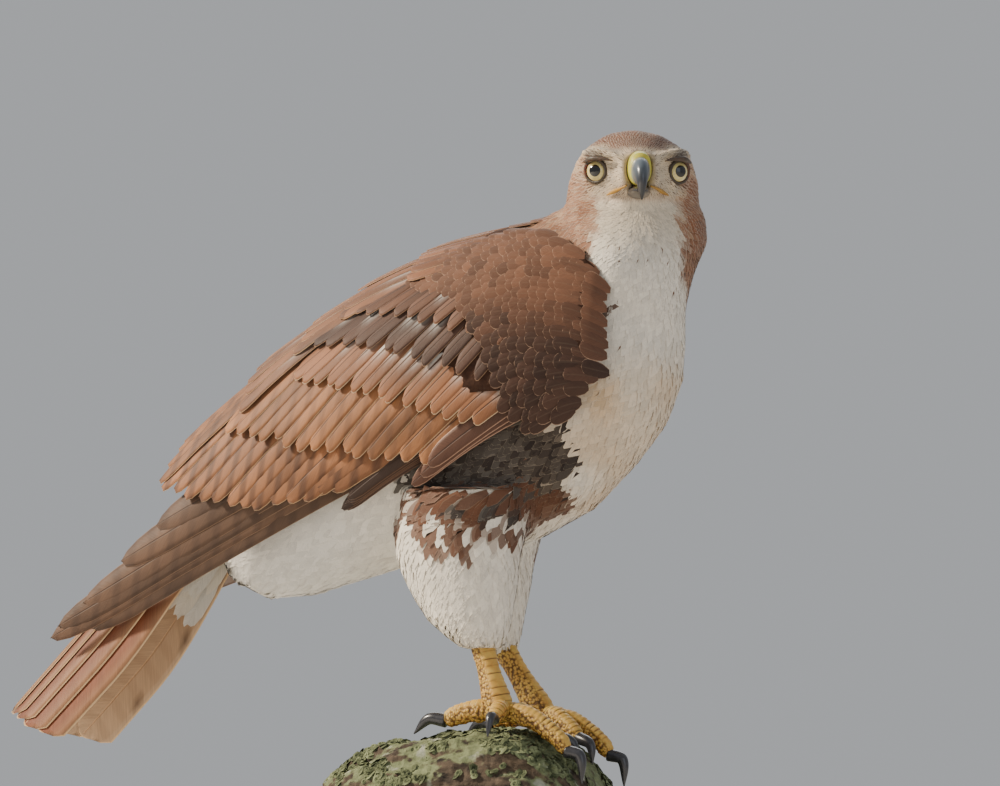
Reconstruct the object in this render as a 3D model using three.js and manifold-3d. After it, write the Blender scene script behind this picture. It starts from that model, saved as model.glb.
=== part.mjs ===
// A life-size model of a red-tailed hawk on a short length of branch, on a plain display stand.
// Millimetres, +Z up. The bird faces +X and its left side is +Y. The origin is the middle of the
// stand base's underside.
import * as THREE from "three";
import { mergeVertices } from "three/addons/utils/BufferGeometryUtils.js";
import Module from "manifold-3d";

const wasm = await Module();
wasm.setup();

// Driving dimensions
const GAP = 0.3; // clearance between neighbouring pieces
const BASE = { length: 260, width: 170, height: 16, corner: 26 };
const ROD = { radius: 5.5, at: [-62, 18] };
const PERCH = { top: 150, back: -106, front: 50 };

const deg = THREE.MathUtils.degToRad;
const vec = (x, y, z) => new THREE.Vector3(x, y, z);

// The value of one column at x, on a smooth curve through rows that start with x in rising order.
function smooth(rows, x, column = 1) {
  const last = rows.length - 1;
  const at = Math.min(Math.max(x, rows[0][0]), rows[last][0]);
  let i = 0;
  while (i < last - 1 && at > rows[i + 1][0]) i++;
  const slope = (k) => {
    const a = rows[Math.max(k - 1, 0)];
    const b = rows[Math.min(k + 1, last)];
    return (b[column] - a[column]) / (b[0] - a[0]);
  };
  const span = rows[i + 1][0] - rows[i][0];
  const t = (at - rows[i][0]) / span;
  const [p, q] = [rows[i][column], rows[i + 1][column]];
  return (
    p * (1 + 2 * t) * (1 - t) ** 2 +
    slope(i) * span * t * (1 - t) ** 2 +
    q * (3 - 2 * t) * t ** 2 +
    slope(i + 1) * span * (t - 1) * t ** 2
  );
}

// A closed solid from a triangle geometry whose faces may not share their corners yet.
function solid(geometry) {
  const bare = new THREE.BufferGeometry();
  bare.setAttribute("position", geometry.getAttribute("position"));
  bare.setIndex(geometry.index);
  const merged = mergeVertices(bare, 1e-4);
  const made = new wasm.Manifold(
    new wasm.Mesh({
      numProp: 3,
      vertProperties: merged.attributes.position.array,
      triVerts: new Uint32Array(merged.index.array),
    }),
  );
  if (made.volume() > 0) return made;
  const turned = merged.index.array.slice();
  for (let i = 0; i < turned.length; i += 3) [turned[i], turned[i + 1]] = [turned[i + 1], turned[i]];
  return new wasm.Manifold(
    new wasm.Mesh({
      numProp: 3,
      vertProperties: merged.attributes.position.array,
      triVerts: new Uint32Array(turned),
    }),
  );
}

// The largest closed body of a solid, with any loose scrap left out.
function largest(made) {
  return made.decompose().sort((a, b) => b.volume() - a.volume())[0];
}

// A solid through rings of points, each ring closed, with the two end rings capped.
function loft(rings) {
  const sides = rings[0].length;
  const points = rings.flat();
  const centre = (ring) => ring.reduce((sum, p) => sum.add(p), vec(0, 0, 0)).divideScalar(sides);
  points.push(centre(rings[0]), centre(rings[rings.length - 1]));
  const faces = [];
  for (let i = 0; i < rings.length - 1; i++)
    for (let j = 0; j < sides; j++) {
      const k = (j + 1) % sides;
      const [a, b, c, d] = [i * sides + j, i * sides + k, (i + 1) * sides + k, (i + 1) * sides + j];
      faces.push(a, b, c, a, c, d);
    }
  const far = (rings.length - 1) * sides;
  for (let j = 0; j < sides; j++) {
    const k = (j + 1) % sides;
    faces.push(points.length - 2, k, j, points.length - 1, far + j, far + k);
  }
  const geometry = new THREE.BufferGeometry().setFromPoints(points);
  geometry.setIndex(faces);
  return solid(geometry);
}

// A ring of points round a centre, from two half axes. Squareness above 1 fills its corners.
function ring(centre, up, side, sides, squareness = 1) {
  return Array.from({ length: sides }, (_, j) => {
    const a = (2 * Math.PI * j) / sides;
    const bend = (v) => Math.sign(v) * Math.abs(v) ** (1 / squareness);
    return centre.clone().addScaledVector(up, bend(Math.cos(a))).addScaledVector(side, bend(Math.sin(a)));
  });
}

// A round tube along a curve of points, with a radius at each point.
function tube(points, radii, sides, steps, grow = 0) {
  const curve = new THREE.CatmullRomCurve3(points, false, "centripetal");
  const frames = curve.computeFrenetFrames(steps);
  const rows = radii.map((r, i) => [i / (radii.length - 1), r]);
  const rings = Array.from({ length: steps + 1 }, (_, i) => {
    const r = smooth(rows, i / steps) + grow;
    return ring(
      curve.getPointAt(i / steps),
      frames.normals[i].clone().multiplyScalar(r),
      frames.binormals[i].clone().multiplyScalar(r),
      sides,
    );
  });
  return loft(rings);
}

// The body: a row for each station along the back, with the middle of the back and of the belly
// (x, z) and half the width. Heights are above the top of the perch.
const TORSO = [
  { back: [-196, 142], belly: [-182, 88], half: 14 },
  { back: [-174, 180], belly: [-150, 74], half: 27 },
  { back: [-138, 208], belly: [-108, 82], half: 41 },
  { back: [-96, 238], belly: [-66, 92], half: 51 },
  { back: [-50, 262], belly: [-14, 98], half: 56 },
  { back: [-12, 274], belly: [32, 112], half: 53 },
  { back: [12, 282], belly: [68, 142], half: 47 },
  { back: [26, 284], belly: [92, 172], half: 40 },
  { back: [38, 286], belly: [100, 204], half: 34 },
  { back: [52, 280], belly: [99, 236], half: 25 },
];
const TORSO_SIDES = 20;
const TORSO_RINGS = 13;

function torso(grow = 0) {
  const column = (read) => TORSO.map((row, i) => [i, read(row)]);
  const tables = [
    column((row) => row.back[0]),
    column((row) => row.back[1]),
    column((row) => row.belly[0]),
    column((row) => row.belly[1]),
    column((row) => row.half),
  ];
  const rings = Array.from({ length: TORSO_RINGS }, (_, k) => {
    const s = (k / (TORSO_RINGS - 1)) * (TORSO.length - 1);
    const [bx, bz, vx, vz, half] = tables.map((table) => smooth(table, s));
    const up = vec(bx - vx, 0, bz - vz).multiplyScalar(0.5);
    const centre = vec((bx + vx) / 2, 0, (bz + vz) / 2);
    up.setLength(up.length() + grow);
    return ring(centre, up, vec(0, half + grow, 0), TORSO_SIDES, 1.05);
  });
  return loft(rings);
}

// The head, in its own frame: +X to the bill's tip, +Y the bird's left, +Z up, origin between the
// ears at eye level. Rows are x, half width, crown and throat heights.
const HEAD = { at: vec(74.6, -7, 308), yaw: -64, pitch: 8 };
const SKULL = [
  [-40, 11, 3, -12],
  [-35, 22, 13, -22],
  [-25, 31, 19.5, -30],
  [-13, 36, 23, -34],
  [-6, 35.5, 23.5, -35],
  [0, 32, 23, -34],
  [5, 27.5, 21.5, -31],
  [10, 22.4, 19, -27.5],
  [15, 18, 16.5, -23.5],
  [20, 14.5, 13.5, -19],
  [28, 9.5, 10.5, -12],
];
const SKULL_SIDES = 16;
const EYE = { radius: 7.2, x: 8.2, y: 21, z: 0, outward: 36 };
const CERE = { back: 21, front: 36, top: 10.2, half: 6.8, sill: -9 };
const GAPE = [[34, 5.2, -9.6], [27, 9.2, -10.6], [19, 15, -13.2]]; // the mouth's line behind the bill
const NOSTRIL = { x: 32.5, y: 5.6, z: 1.2, radius: 1.5 };

const headMatrix = new THREE.Matrix4().compose(
  HEAD.at,
  new THREE.Quaternion()
    .setFromAxisAngle(vec(0, 0, 1), deg(HEAD.yaw))
    .multiply(new THREE.Quaternion().setFromAxisAngle(vec(0, 1, 0), deg(HEAD.pitch))),
  vec(1, 1, 1),
);

function skull(grow = 0) {
  const steps = 11;
  const rings = Array.from({ length: steps + 1 }, (_, i) => {
    const [from, to] = [SKULL[0][0], SKULL[SKULL.length - 1][0]];
    const x = from + ((to - from) * i) / steps;
    const [half, crown, throat] = [1, 2, 3].map((column) => smooth(SKULL, x, column));
    const middle = (crown + throat) / 2;
    const height = (crown - throat) / 2 + grow;
    const ends = (i === 0 ? -grow : 0) + (i === steps ? grow : 0);
    return ring(vec(x + ends, 0, middle), vec(0, 0, height), vec(0, half + grow, 0), SKULL_SIDES, 1.12);
  });
  return loft(rings);
}

const eyeCentre = (side) => vec(EYE.x, side * EYE.y, EYE.z);
const ball = (centre, radius, wide, high) =>
  solid(new THREE.SphereGeometry(radius, wide, high)).translate(centre.toArray());

// The hard brow over one eye, the two lids round it and the fleshy corner of the mouth.
function browRidge(side) {
  const points = [vec(25, side * 10, 7.5), vec(17, side * 18.5, 9.8), vec(8, side * 26, 10.8), vec(-4, side * 31, 10)];
  return tube(points, [2.2, 4, 4, 2], 6, 6);
}

function lids(side) {
  const out = vec(Math.cos(deg(EYE.outward)), side * Math.sin(deg(EYE.outward)), 0);
  const across = vec(-out.y, out.x, 0);
  const steps = 10;
  const middle = eyeCentre(side).addScaledVector(out, 4.1);
  const rings = Array.from({ length: steps }, (_, i) => {
    const a = (2 * Math.PI * i) / steps;
    const spoke = across.clone().multiplyScalar(Math.cos(a) * 6.9).add(vec(0, 0, Math.sin(a) * 6.3));
    return ring(middle.clone().add(spoke), spoke.clone().setLength(1.5), out.clone().multiplyScalar(2), 5);
  });
  return ringed(rings);
}

// A solid through rings that follow each other round a closed loop.
function ringed(rings) {
  const sides = rings[0].length;
  const faces = [];
  rings.forEach((_, i) => {
    for (let j = 0; j < sides; j++) {
      const [n, k] = [(i + 1) % rings.length, (j + 1) % sides];
      const [a, b, c, d] = [i * sides + j, i * sides + k, n * sides + k, n * sides + j];
      faces.push(a, b, c, a, c, d);
    }
  });
  const geometry = new THREE.BufferGeometry().setFromPoints(rings.flat());
  geometry.setIndex(faces);
  return solid(geometry);
}

// The cere: the bare yellow skin at the bill's root, with a nostril sunk in each side.
function cere(grow = 0) {
  const steps = 4;
  const rings = Array.from({ length: steps + 1 }, (_, i) => {
    const t = i / steps;
    const x = THREE.MathUtils.lerp(CERE.back, CERE.front, t) + (i === steps ? grow : 0);
    const top = CERE.top - 1.6 * t * t;
    const middle = (top + CERE.sill) / 2;
    const half = CERE.half - 0.8 * t;
    return ring(vec(x, 0, middle), vec(0, 0, (top - CERE.sill) / 2 + grow), vec(0, half + grow, 0), 14, 1.1);
  });
  return loft(rings);
}

// The hooked upper bill. Rows: middle x and z, lean of the section, half height and half width.
const BILL = [
  [36.3, -0.5, 0, 9.0, 5.7],
  [40.6, -1.7, 16, 7.9, 4.9],
  [44.2, -4.9, 42, 6.2, 3.8],
  [46.0, -9.4, 66, 4.2, 2.7],
  [45.8, -13.8, 84, 2.3, 1.6],
  [44.8, -17.6, 96, 0.6, 0.5],
];

function upperBill(grow = 0) {
  const column = (c) => BILL.map((row, i) => [i, row[c]]);
  const tables = [0, 1, 2, 3, 4].map(column);
  const steps = 10;
  const rings = Array.from({ length: steps + 1 }, (_, i) => {
    const s = (i / steps) * (BILL.length - 1);
    const [x, z, lean, high, wide] = tables.map((table) => smooth(table, s));
    const up = vec(Math.sin(deg(lean)), 0, Math.cos(deg(lean))).multiplyScalar(high + grow);
    return ring(vec(x, 0, z), up, vec(0, wide + grow, 0), 12, 1.05);
  });
  return loft(rings);
}

// The lower bill, a shallow scoop that closes under the upper one.
function lowerBill(grow = 0) {
  const rows = [
    [20, -12.4, 3.4, 6.4],
    [28, -12.2, 3.0, 5.8],
    [36, -12.0, 2.4, 4.6],
    [41.5, -12.2, 1.2, 2.6],
  ];
  return loft(rows.map(([x, z, high, wide]) => ring(vec(x, 0, z), vec(0, 0, high + grow), vec(0, wide + grow, 0), 10)));
}

// The neck, a thick sleeve of feathers from the shoulders up to the head.
const NECK = [
  [206, 60, 0, 41, 32],
  [232, 63, -1, 41, 34],
  [254, 68, -1, 39, 38],
  [270, 70, 0, 34, 41],
  [284, 70, 2, 27, 37],
  [296, 69, 4, 20, 30],
];

function neck(grow = 0) {
  const rings = NECK.map(([z, x, y, along, across]) => {
    const turn = smooth([[206, 0], [296, HEAD.yaw]], z);
    const forward = vec(Math.cos(deg(turn)), Math.sin(deg(turn)), 0);
    const left = vec(-forward.y, forward.x, 0);
    return ring(vec(x, y, z), forward.multiplyScalar(along + grow), left.multiplyScalar(across + grow), 16);
  });
  return loft(rings);
}

// The surface that the folded wings lie on. Rows: x, height of the ridge over the back, half width
// and the drop from the ridge to the widest line. A place on it is x and an arc from the ridge.
const SADDLE = [
  [-360, 63, 22, 34],
  [-310, 97, 30, 42],
  [-240, 150, 44, 60],
  [-180, 197, 58, 76],
  [-120, 238, 68, 91],
  [-60, 269, 71, 98],
  [0, 286, 67, 96],
  [50, 290, 56, 84],
  [92, 275, 42, 62],
];
// The left wing is held a little higher towards its tip.
const LEFT_RISE = [
  [-380, 24],
  [-240, 14],
  [-60, 0],
  [100, 0],
];

// A place on a wing, lifted outwards from the saddle. side is +1 for the left wing.
function onSaddle(side, x, arc, lift = 0) {
  const [ridge, half, drop] = [1, 2, 3].map((column) => smooth(SADDLE, x, column));
  const a = arc / ((half + drop) / 2);
  const rise = side > 0 ? smooth(LEFT_RISE, x) : 0;
  const out = vec(0, Math.sin(a) * drop, Math.cos(a) * half).setLength(lift || 1e-9);
  return vec(x, side * (half * Math.sin(a) + out.y), ridge - drop * (1 - Math.cos(a)) + out.z + rise);
}

// The arc at which a straight line seen from the side crosses the saddle at x.
function arcAtHeight(x, z) {
  const [ridge, half, drop] = [1, 2, 3].map((column) => smooth(SADDLE, x, column));
  return Math.acos(Math.max(-1, Math.min(1, 1 - (ridge - z) / drop))) * ((half + drop) / 2);
}

// A thin closed sheet between two grids of points that are split into triangles alike.
function sheet(top, bottom) {
  const [rows, columns] = [top.length, top[0].length];
  const at = (layer, i, j) => layer * rows * columns + i * columns + j;
  const faces = [];
  const quad = (a, b, c, d) => faces.push(a, b, c, a, c, d);
  for (let i = 0; i < rows - 1; i++)
    for (let j = 0; j < columns - 1; j++) {
      quad(at(0, i, j), at(0, i, j + 1), at(0, i + 1, j + 1), at(0, i + 1, j));
      const [a, b, c, d] = [at(1, i, j), at(1, i, j + 1), at(1, i + 1, j + 1), at(1, i + 1, j)];
      faces.push(a, c, b, a, d, c);
    }
  for (let i = 0; i < rows - 1; i++) {
    quad(at(0, i, 0), at(0, i + 1, 0), at(1, i + 1, 0), at(1, i, 0));
    quad(at(0, i + 1, columns - 1), at(0, i, columns - 1), at(1, i, columns - 1), at(1, i + 1, columns - 1));
  }
  for (let j = 0; j < columns - 1; j++) {
    quad(at(0, 0, j + 1), at(0, 0, j), at(1, 0, j), at(1, 0, j + 1));
    quad(at(0, rows - 1, j), at(0, rows - 1, j + 1), at(1, rows - 1, j + 1), at(1, rows - 1, j));
  }
  const geometry = new THREE.BufferGeometry().setFromPoints([...top.flat(), ...bottom.flat()]);
  geometry.setIndex(faces);
  return solid(geometry);
}

// How far along a vane each row of points lies, and its share of the full width there.
const VANE_SHAPE = [
  [0, 0.4],
  [0.25, 0.85],
  [0.55, 1],
  [0.8, 0.96],
  [0.93, 0.82],
  [1, 0.42],
];
const BLUNT_SHAPE = [
  [0, 0.4],
  [0.25, 0.8],
  [0.55, 0.95],
  [0.93, 1],
  [1, 0.74],
];

// One feather's vane on a surface. centre(t) gives its middle line as [along, across], and its
// higher edge is the one further across.
function vane(surface, centre, { width, lift, tilt, rows, columns, thick = 0.75, shape = VANE_SHAPE }) {
  const grid = (under) =>
    Array.from({ length: rows }, (_, i) => {
      const t = 1 - (1 - i / (rows - 1)) ** 1.35;
      const [along, across] = centre(t);
      const half = (width / 2) * smooth(shape, t);
      return Array.from({ length: columns }, (_, j) => {
        const e = (2 * j) / (columns - 1) - 1;
        const depth = under * thick * (1 - 0.25 * Math.abs(e));
        return surface(along, across + e * half, lift(t) + tilt * e * half - depth);
      });
    });
  return sheet(grid(0), grid(1));
}

// The tiers of a wing, from the lowest. Each runs from its uppermost feather to its lowest one, whose
// roots and tips are [x, arc]. lift is a row of [share of the way, height over the saddle], and step
// is what each feather lies under the one above it.
const TIERS = [
  { name: "primaries", count: 6, from: [[-10, 120], [-206, 82]], to: [[4, 144], [-270, 98]], reach: [0, 0.42, 0.82, 1.16, 1.28, 0.8], tipTurn: [78, 112],
    width: [20, 15], lift: [[0, -11], [0.22, -11.2], [0.5, -9.6], [0.72, -7], [1, -2.6]], step: 0.95, tilt: 0.02, rows: 5, columns: 3, straight: true },
  { name: "secondaries", count: 9, from: [[-66, 62], [-205, 62]], to: [[-4, 146], [-86, 154]],
    width: [19, 16], lift: [[0, -8.4], [1, -4.8]], step: 0, tilt: 0.135, rows: 4, columns: 3, bulge: 17 },
  { name: "tertials", count: 3, from: [[-92, 34], [-196, 28]], to: [[-80, 58], [-208, 52]],
    width: [20, 20], lift: [[0, -7], [1, -3.8]], step: 0, tilt: 0.1, rows: 5, columns: 3 },
  { name: "primary coverts", count: 3, from: [[14, 142], [-78, 166]], to: [[26, 148], [-84, 173]],
    width: [13, 13], lift: [[0, -7.6], [1, -6.6]], step: 1, tilt: 0.03, rows: 4, columns: 2 },
  { name: "greater coverts", count: 9, from: [[-92, 62], [-164, 70]], to: [[8, 138], [-38, 161]],
    width: [17, 15], lift: [[0, -4.8], [1, -2.2]], step: 0, tilt: 0.16, rows: 4, columns: 2, bulge: 6 },
  { name: "alula", count: 3, from: [[44, 128], [-28, 166]], to: [[50, 134], [-38, 173]],
    width: [11, 10], lift: [[0, -3.2], [1, -2.4]], step: 1, tilt: 0.03, rows: 4, columns: 2 },
  { name: "median coverts", count: 9, from: [[-62, 58], [-112, 68]], to: [[24, 124], [-14, 144]],
    width: [15, 13], lift: [[0, -2.6], [1, -0.2]], step: 0, tilt: 0.185, rows: 4, columns: 2, bulge: 5 },
  { name: "long scapulars", count: 5, from: [[-94, 13], [-150, 14]], to: [[-78, 54], [-150, 70]],
    width: [17, 22], lift: [[0, -3.6], [1, -0.4]], step: 0, tilt: 0.12, rows: 4, columns: 2 },
  { name: "scapulars", count: 5, from: [[-44, 12], [-104, 12]], to: [[-34, 53], [-104, 60]],
    width: [17, 18], lift: [[0, -3.2], [1, -0.2]], step: 0, tilt: 0.12, rows: 4, columns: 2 },
  { name: "short scapulars", count: 5, from: [[4, 20], [-56, 12]], to: [[4, 58], [-58, 56]],
    width: [15, 17], lift: [[0, -2.8], [1, 0.6]], step: 0, tilt: 0.125, rows: 4, columns: 2 },
];

function tier(side, spec) {
  const { count, from, to } = spec;
  const surface = (x, arc, lift) => onSaddle(side, x, arc, lift);
  const mix = THREE.MathUtils.lerp;
  const longest = spec.reach ? 290 : Math.hypot(from[1][0] - from[0][0], from[1][1] - from[0][1]);
  return Array.from({ length: count }, (_, n) => {
    const f = n / (count - 1);
    const far = spec.reach ? spec.reach[n] : f;
    const root = [mix(from[0][0], to[0][0], f), mix(from[0][1], to[0][1], f)];
    const tip = [mix(from[1][0], to[1][0], far), mix(from[1][1], to[1][1], f) + (spec.bulge ?? 0) * 4 * f * (1 - f)];
    if (spec.tipTurn) {
      const [half, drop] = [2, 3].map((column) => smooth(SADDLE, tip[0], column));
      tip[1] = (deg(mix(...spec.tipTurn, f)) * (half + drop)) / 2;
    }
    const heights = [root, tip].map(([x, arc]) => onSaddle(-1, x, arc).z);
    const centre = (t) => {
      const x = mix(root[0], tip[0], t);
      return [x, spec.straight ? arcAtHeight(x, mix(...heights, t)) : mix(root[1], tip[1], t)];
    };
    const share = Math.hypot(tip[0] - root[0], tip[1] - root[1]) / longest;
    const lift = (t) => smooth(spec.lift, t * share) - spec.step * n;
    return vane(surface, centre, { ...spec, width: mix(...spec.width, f), lift });
  });
}

// The arm that the feathers are rooted in. Rows: x, the arcs of its upper and lower edges, and the
// depths of its underside and its top.
const ARM = [
  [-60, 34, 146, -11, -5.4],
  [-44, 28, 152, -11.5, -3.4],
  [-10, 30, 152, -12, -0.8],
  [30, 46, 139, -11, 0.8],
  [56, 62, 115, -9, 1],
  [72, 68, 94, -6, -1.5],
];
const SHOULDER = [
  [-106, 9, 56, -9, -4.4],
  [-70, 8, 58, -9, -2],
  [-20, 18, 58, -9, -0.8],
  [16, 38, 60, -9, 0.2],
];

function slab(side, outline) {
  const columns = 6;
  const grid = (read) =>
    outline.map((row) =>
      Array.from({ length: columns }, (_, j) => onSaddle(side, row[0], row[1] + ((row[2] - row[1]) * j) / (columns - 1), read(row))),
    );
  return sheet(grid((row) => row[4]), grid((row) => row[3]));
}

function wing(side) {
  const feathers = TIERS.flatMap((spec) => tier(side, spec));
  return feathers.reduce((sum, made) => sum.add(made), slab(side, ARM).add(slab(side, SHOULDER)));
}

// The tail: a steep arch of feathers under a ridge line that falls away from the rump. Rows: the
// distance from the root, then the arch's half width and depth.
const TAIL = { root: vec(-172, 0, 172), pitch: 45, length: 220, roll: -5 };
const ARCH = [
  [0, 12, 18],
  [50, 20, 38],
  [100, 27, 52],
  [220, 31, 60],
];

// A place on the tail: how far along, the arc from the ridge (positive to the bird's left) and a lift.
function onTail(s, arc, lift = 0) {
  const along = vec(-Math.cos(deg(TAIL.pitch)), 0, -Math.sin(deg(TAIL.pitch)));
  const up = vec(-Math.sin(deg(TAIL.pitch)), 0, Math.cos(deg(TAIL.pitch)));
  const [half, depth] = [1, 2].map((column) => smooth(ARCH, s, column));
  const a = arc / ((half + depth) / 2);
  const out = [Math.sin(a) * depth, Math.cos(a) * half];
  const norm = Math.hypot(...out);
  const y = half * Math.sin(a) + (lift * out[0]) / norm;
  const z = -depth * (1 - Math.cos(a)) + (lift * out[1]) / norm;
  const roll = deg(TAIL.roll);
  return TAIL.root
    .clone()
    .addScaledVector(along, s)
    .addScaledVector(up, y * Math.sin(roll) + z * Math.cos(roll))
    .add(vec(0, y * Math.cos(roll) - z * Math.sin(roll), 0));
}

// Twelve tail feathers: two over the ridge, then the rest down both sides, each a cell lower.
const RECTRIX = { cell: 10.6, width: 29, thick: 0.7, gap: 0.3 };

function tail() {
  const { cell, width, thick, gap } = RECTRIX;
  const stub = (side) => {
    const spans = [-9, 0, 12, 44];
    const grid = (lift) =>
      spans.map((s) => Array.from({ length: 6 }, (_, j) => onTail(s, side * (0.4 + j * 7.4) * (0.62 + s / 130), lift)));
    return sheet(grid(-0.6), grid(-7.6));
  };
  const feathers = [];
  for (const side of [1, -1])
    for (let n = 0; n < 6; n++) {
      const length = TAIL.length - 0.55 * n * n;
      const outer = (n + 1) * cell;
      const middle = n === 0 ? (side > 0 ? 0 : 3) : outer - width / 2;
      const layer = n + (n > 0 || side < 0 ? 1 : 0);
      const lift = (t) => -(thick + gap) * layer - (n === 0 ? 0 : 0.2) - 1.2 * (1 - t);
      const surface = (s, arc, rise) => onTail(s, side * (n === 0 ? arc : Math.max(arc, 0.5)), rise);
      const shrink = (t) => THREE.MathUtils.lerp(0.5, 1, Math.min(1, t / 0.5));
      const centre = (t) => [t * length, middle * shrink(t)];
      feathers.push(vane(surface, centre, { width, lift, tilt: n === 0 ? 0 : 0.02, thick, rows: 4, columns: 4, shape: BLUNT_SHAPE }));
    }
  return feathers.reduce((sum, made) => sum.add(made), stub(1).add(stub(-1)));
}

// The legs. side is +1 for the left leg. The feathered thigh tapers to the ankle.
const LEG = {
  right: { side: -1, lean: 0, ankle: vec(-9.5, -27, 42), foot: vec(0, -27, 8) },
  left: { side: 1, lean: -19, ankle: vec(-19, 26, 44), foot: vec(3, 27, 8) },
};

// Rows of the thigh: height, middle x, then half length and half width.
const THIGH = [
  [132, -20, 42, 30],
  [108, -23, 41, 29],
  [92, -24, 38, 27],
  [80, -22, 35.5, 25],
  [68, -20, 31, 22],
  [57, -17, 26, 19],
  [47, -12.5, 18.5, 15],
  [41, -10, 11, 10.5],
];

function thigh(leg, grow = 0) {
  const rings = THIGH.map(([z, x, along, across], i) => {
    const low = i === THIGH.length - 1 ? grow : 0;
    const t = (132 - z) / 90;
    const centre = vec(x + leg.lean * (0.6 + 0.2 * t), leg.side * (30 - 3 * t), z - low);
    const size = leg.side > 0 ? 0.88 : 1;
    return ring(centre, vec(along * size + grow, 0, 0), vec(0, across + grow, 0), 14);
  });
  return loft(rings);
}

function tarsus(leg, grow = 0) {
  const { ankle, foot } = leg;
  const at = (t) => ankle.clone().lerp(foot, t);
  return tube([at(-0.3), at(0), at(0.4), at(0.75), at(1), at(1.1)], [7, 6.8, 6.3, 7.2, 8.6, 8], 12, 8, grow);
}

// Each toe: its path over the perch from the foot's middle, and the claw at its end.
const TOES = {
  hallux: { path: [[0, 0, 8], [-12, 1, 9], [-22, 2, 7.5], [-31, 3, 4]], claw: [[-31, 3, 4], [-41, 3.5, 5], [-50, 4, -3]], thick: 6 },
  inner: { path: [[0, 0, 8], [9, -6, 8], [19, -11, 2.5], [28, -15, -5]], claw: [[28, -15, -5], [36, -18, -9], [38, -19, -20]], thick: 5.4 },
  middle: { path: [[0, 0, 8], [12, 0, 7], [24, 0, 1.5], [36, 0, -8], [40, 0, -14]], claw: [[40, 0, -14], [48, 0, -17], [49, 0, -32]], thick: 5.5 },
  outer: { path: [[0, 0, 8], [4, 8, 9], [6, 16, 7.5], [7, 23, 3]], claw: [[7, 23, 3], [9, 32, 3.5], [9, 36, -7]], thick: 5 },
};

function toe(leg, spec) {
  const points = spec.path.map(([a, b, c]) => vec(leg.foot.x + a, leg.foot.y + leg.side * b, c));
  const t = spec.thick;
  return tube(points, [t * 1.1, t * 0.92, t * 1.02, t * 0.88, t * 0.72], 8, 7);
}

function claw(leg, spec, grow = 0) {
  const points = spec.claw.map(([a, b, c]) => vec(leg.foot.x + a, leg.foot.y + leg.side * b, c));
  const t = spec.thick;
  return tube(points, [t * 0.62, t * 0.46, t * 0.1], 7, 6, grow);
}

// The perch: a short cut length of a thick branch whose front end is broken off short. Rows: x, top,
// underside and half width.
const LOG = [
  [-120, -44, -84, 32],
  [-112, -30, -88, 42],
  [-92, -14, -90, 51],
  [-66, -6, -90, 56],
  [-30, -1, -88, 58],
  [6, 0, -86, 58],
  [22, -4, -84, 54],
  [34, -15, -80, 47],
  [44, -30, -74, 38],
  [50, -46, -66, 24],
];

function perch(grow = 0) {
  const steps = 11;
  const sides = 18;
  const rings = Array.from({ length: steps + 1 }, (_, i) => {
    const x = THREE.MathUtils.lerp(PERCH.back, PERCH.front, i / steps);
    const ends = (i === 0 ? -grow : 0) + (i === steps ? grow : 0);
    const [top, under, half] = [1, 2, 3].map((column) => smooth(LOG, x, column));
    return Array.from({ length: sides }, (_, j) => {
      const a = (2 * Math.PI * j) / sides;
      const bark = 0.02 * Math.sin(7 * a + x / 30) + 0.016 * Math.sin(11 * a - x / 13) + 0.012 * Math.sin(x / 7 + 2 * a);
      const bend = (v) => Math.sign(v) * Math.abs(v) ** 0.8;
      const wide = half * (1 + bark) + grow;
      const high = ((top - under) / 2) * (1 + bark) + grow;
      return vec(x + ends, wide * bend(Math.sin(a)), high * bend(Math.cos(a)) + (top + under) / 2);
    });
  });
  return loft(rings);
}

function standBase() {
  const { length, width, height, corner } = BASE;
  const [x, y] = [length / 2, width / 2];
  const shape = new THREE.Shape();
  shape.moveTo(-x + corner, -y);
  shape.lineTo(x - corner, -y);
  shape.absarc(x - corner, -y + corner, corner, -Math.PI / 2, 0);
  shape.lineTo(x, y - corner);
  shape.absarc(x - corner, y - corner, corner, 0, Math.PI / 2);
  shape.lineTo(-x + corner, y);
  shape.absarc(-x + corner, y - corner, corner, Math.PI / 2, Math.PI);
  shape.lineTo(-x, -y + corner);
  shape.absarc(-x + corner, -y + corner, corner, Math.PI, 1.5 * Math.PI);
  return solid(new THREE.ExtrudeGeometry(shape, { depth: height, bevelEnabled: false, curveSegments: 8 }));
}

// Colours and finishes
const paint = (color, roughness, metalness = 0) => new THREE.MeshStandardMaterial({ color, roughness, metalness });
const MATERIALS = {
  brown: paint(0x8a5a3a, 0.75),
  cream: paint(0xd9c7ab, 0.8),
  rufous: paint(0xa5683c, 0.72),
  face: paint(0xb08e6e, 0.8),
  iris: paint(0xe6d27a, 0.08),
  cere: paint(0xd8d04a, 0.45),
  horn: paint(0x2b2f38, 0.25),
  skin: paint(0xd9a72e, 0.55),
  bark: paint(0x5f5a4a, 0.95),
  walnut: paint(0x4a3324, 0.4),
  steel: paint(0x9a9ca0, 0.3, 1),
};

const hawk = new THREE.Group();
const bird = new THREE.Group();
bird.position.z = PERCH.top;
const head = new THREE.Group();
head.applyMatrix4(headMatrix);
bird.add(head);
hawk.add(bird);

// Adds a named piece to a group, its shape given in that group's own frame.
function place(group, name, made, material) {
  const mesh = largest(made).getMesh();
  const corners = new Float32Array(mesh.numVert * 3);
  for (let i = 0; i < mesh.numVert; i++)
    for (let k = 0; k < 3; k++) corners[3 * i + k] = mesh.vertProperties[i * mesh.numProp + k];
  const geometry = new THREE.BufferGeometry();
  geometry.setAttribute("position", new THREE.BufferAttribute(corners, 3));
  geometry.setIndex(new THREE.BufferAttribute(mesh.triVerts, 1));
  const piece = new THREE.Mesh(geometry, MATERIALS[material]);
  piece.name = name;
  group.add(piece);
}

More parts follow.
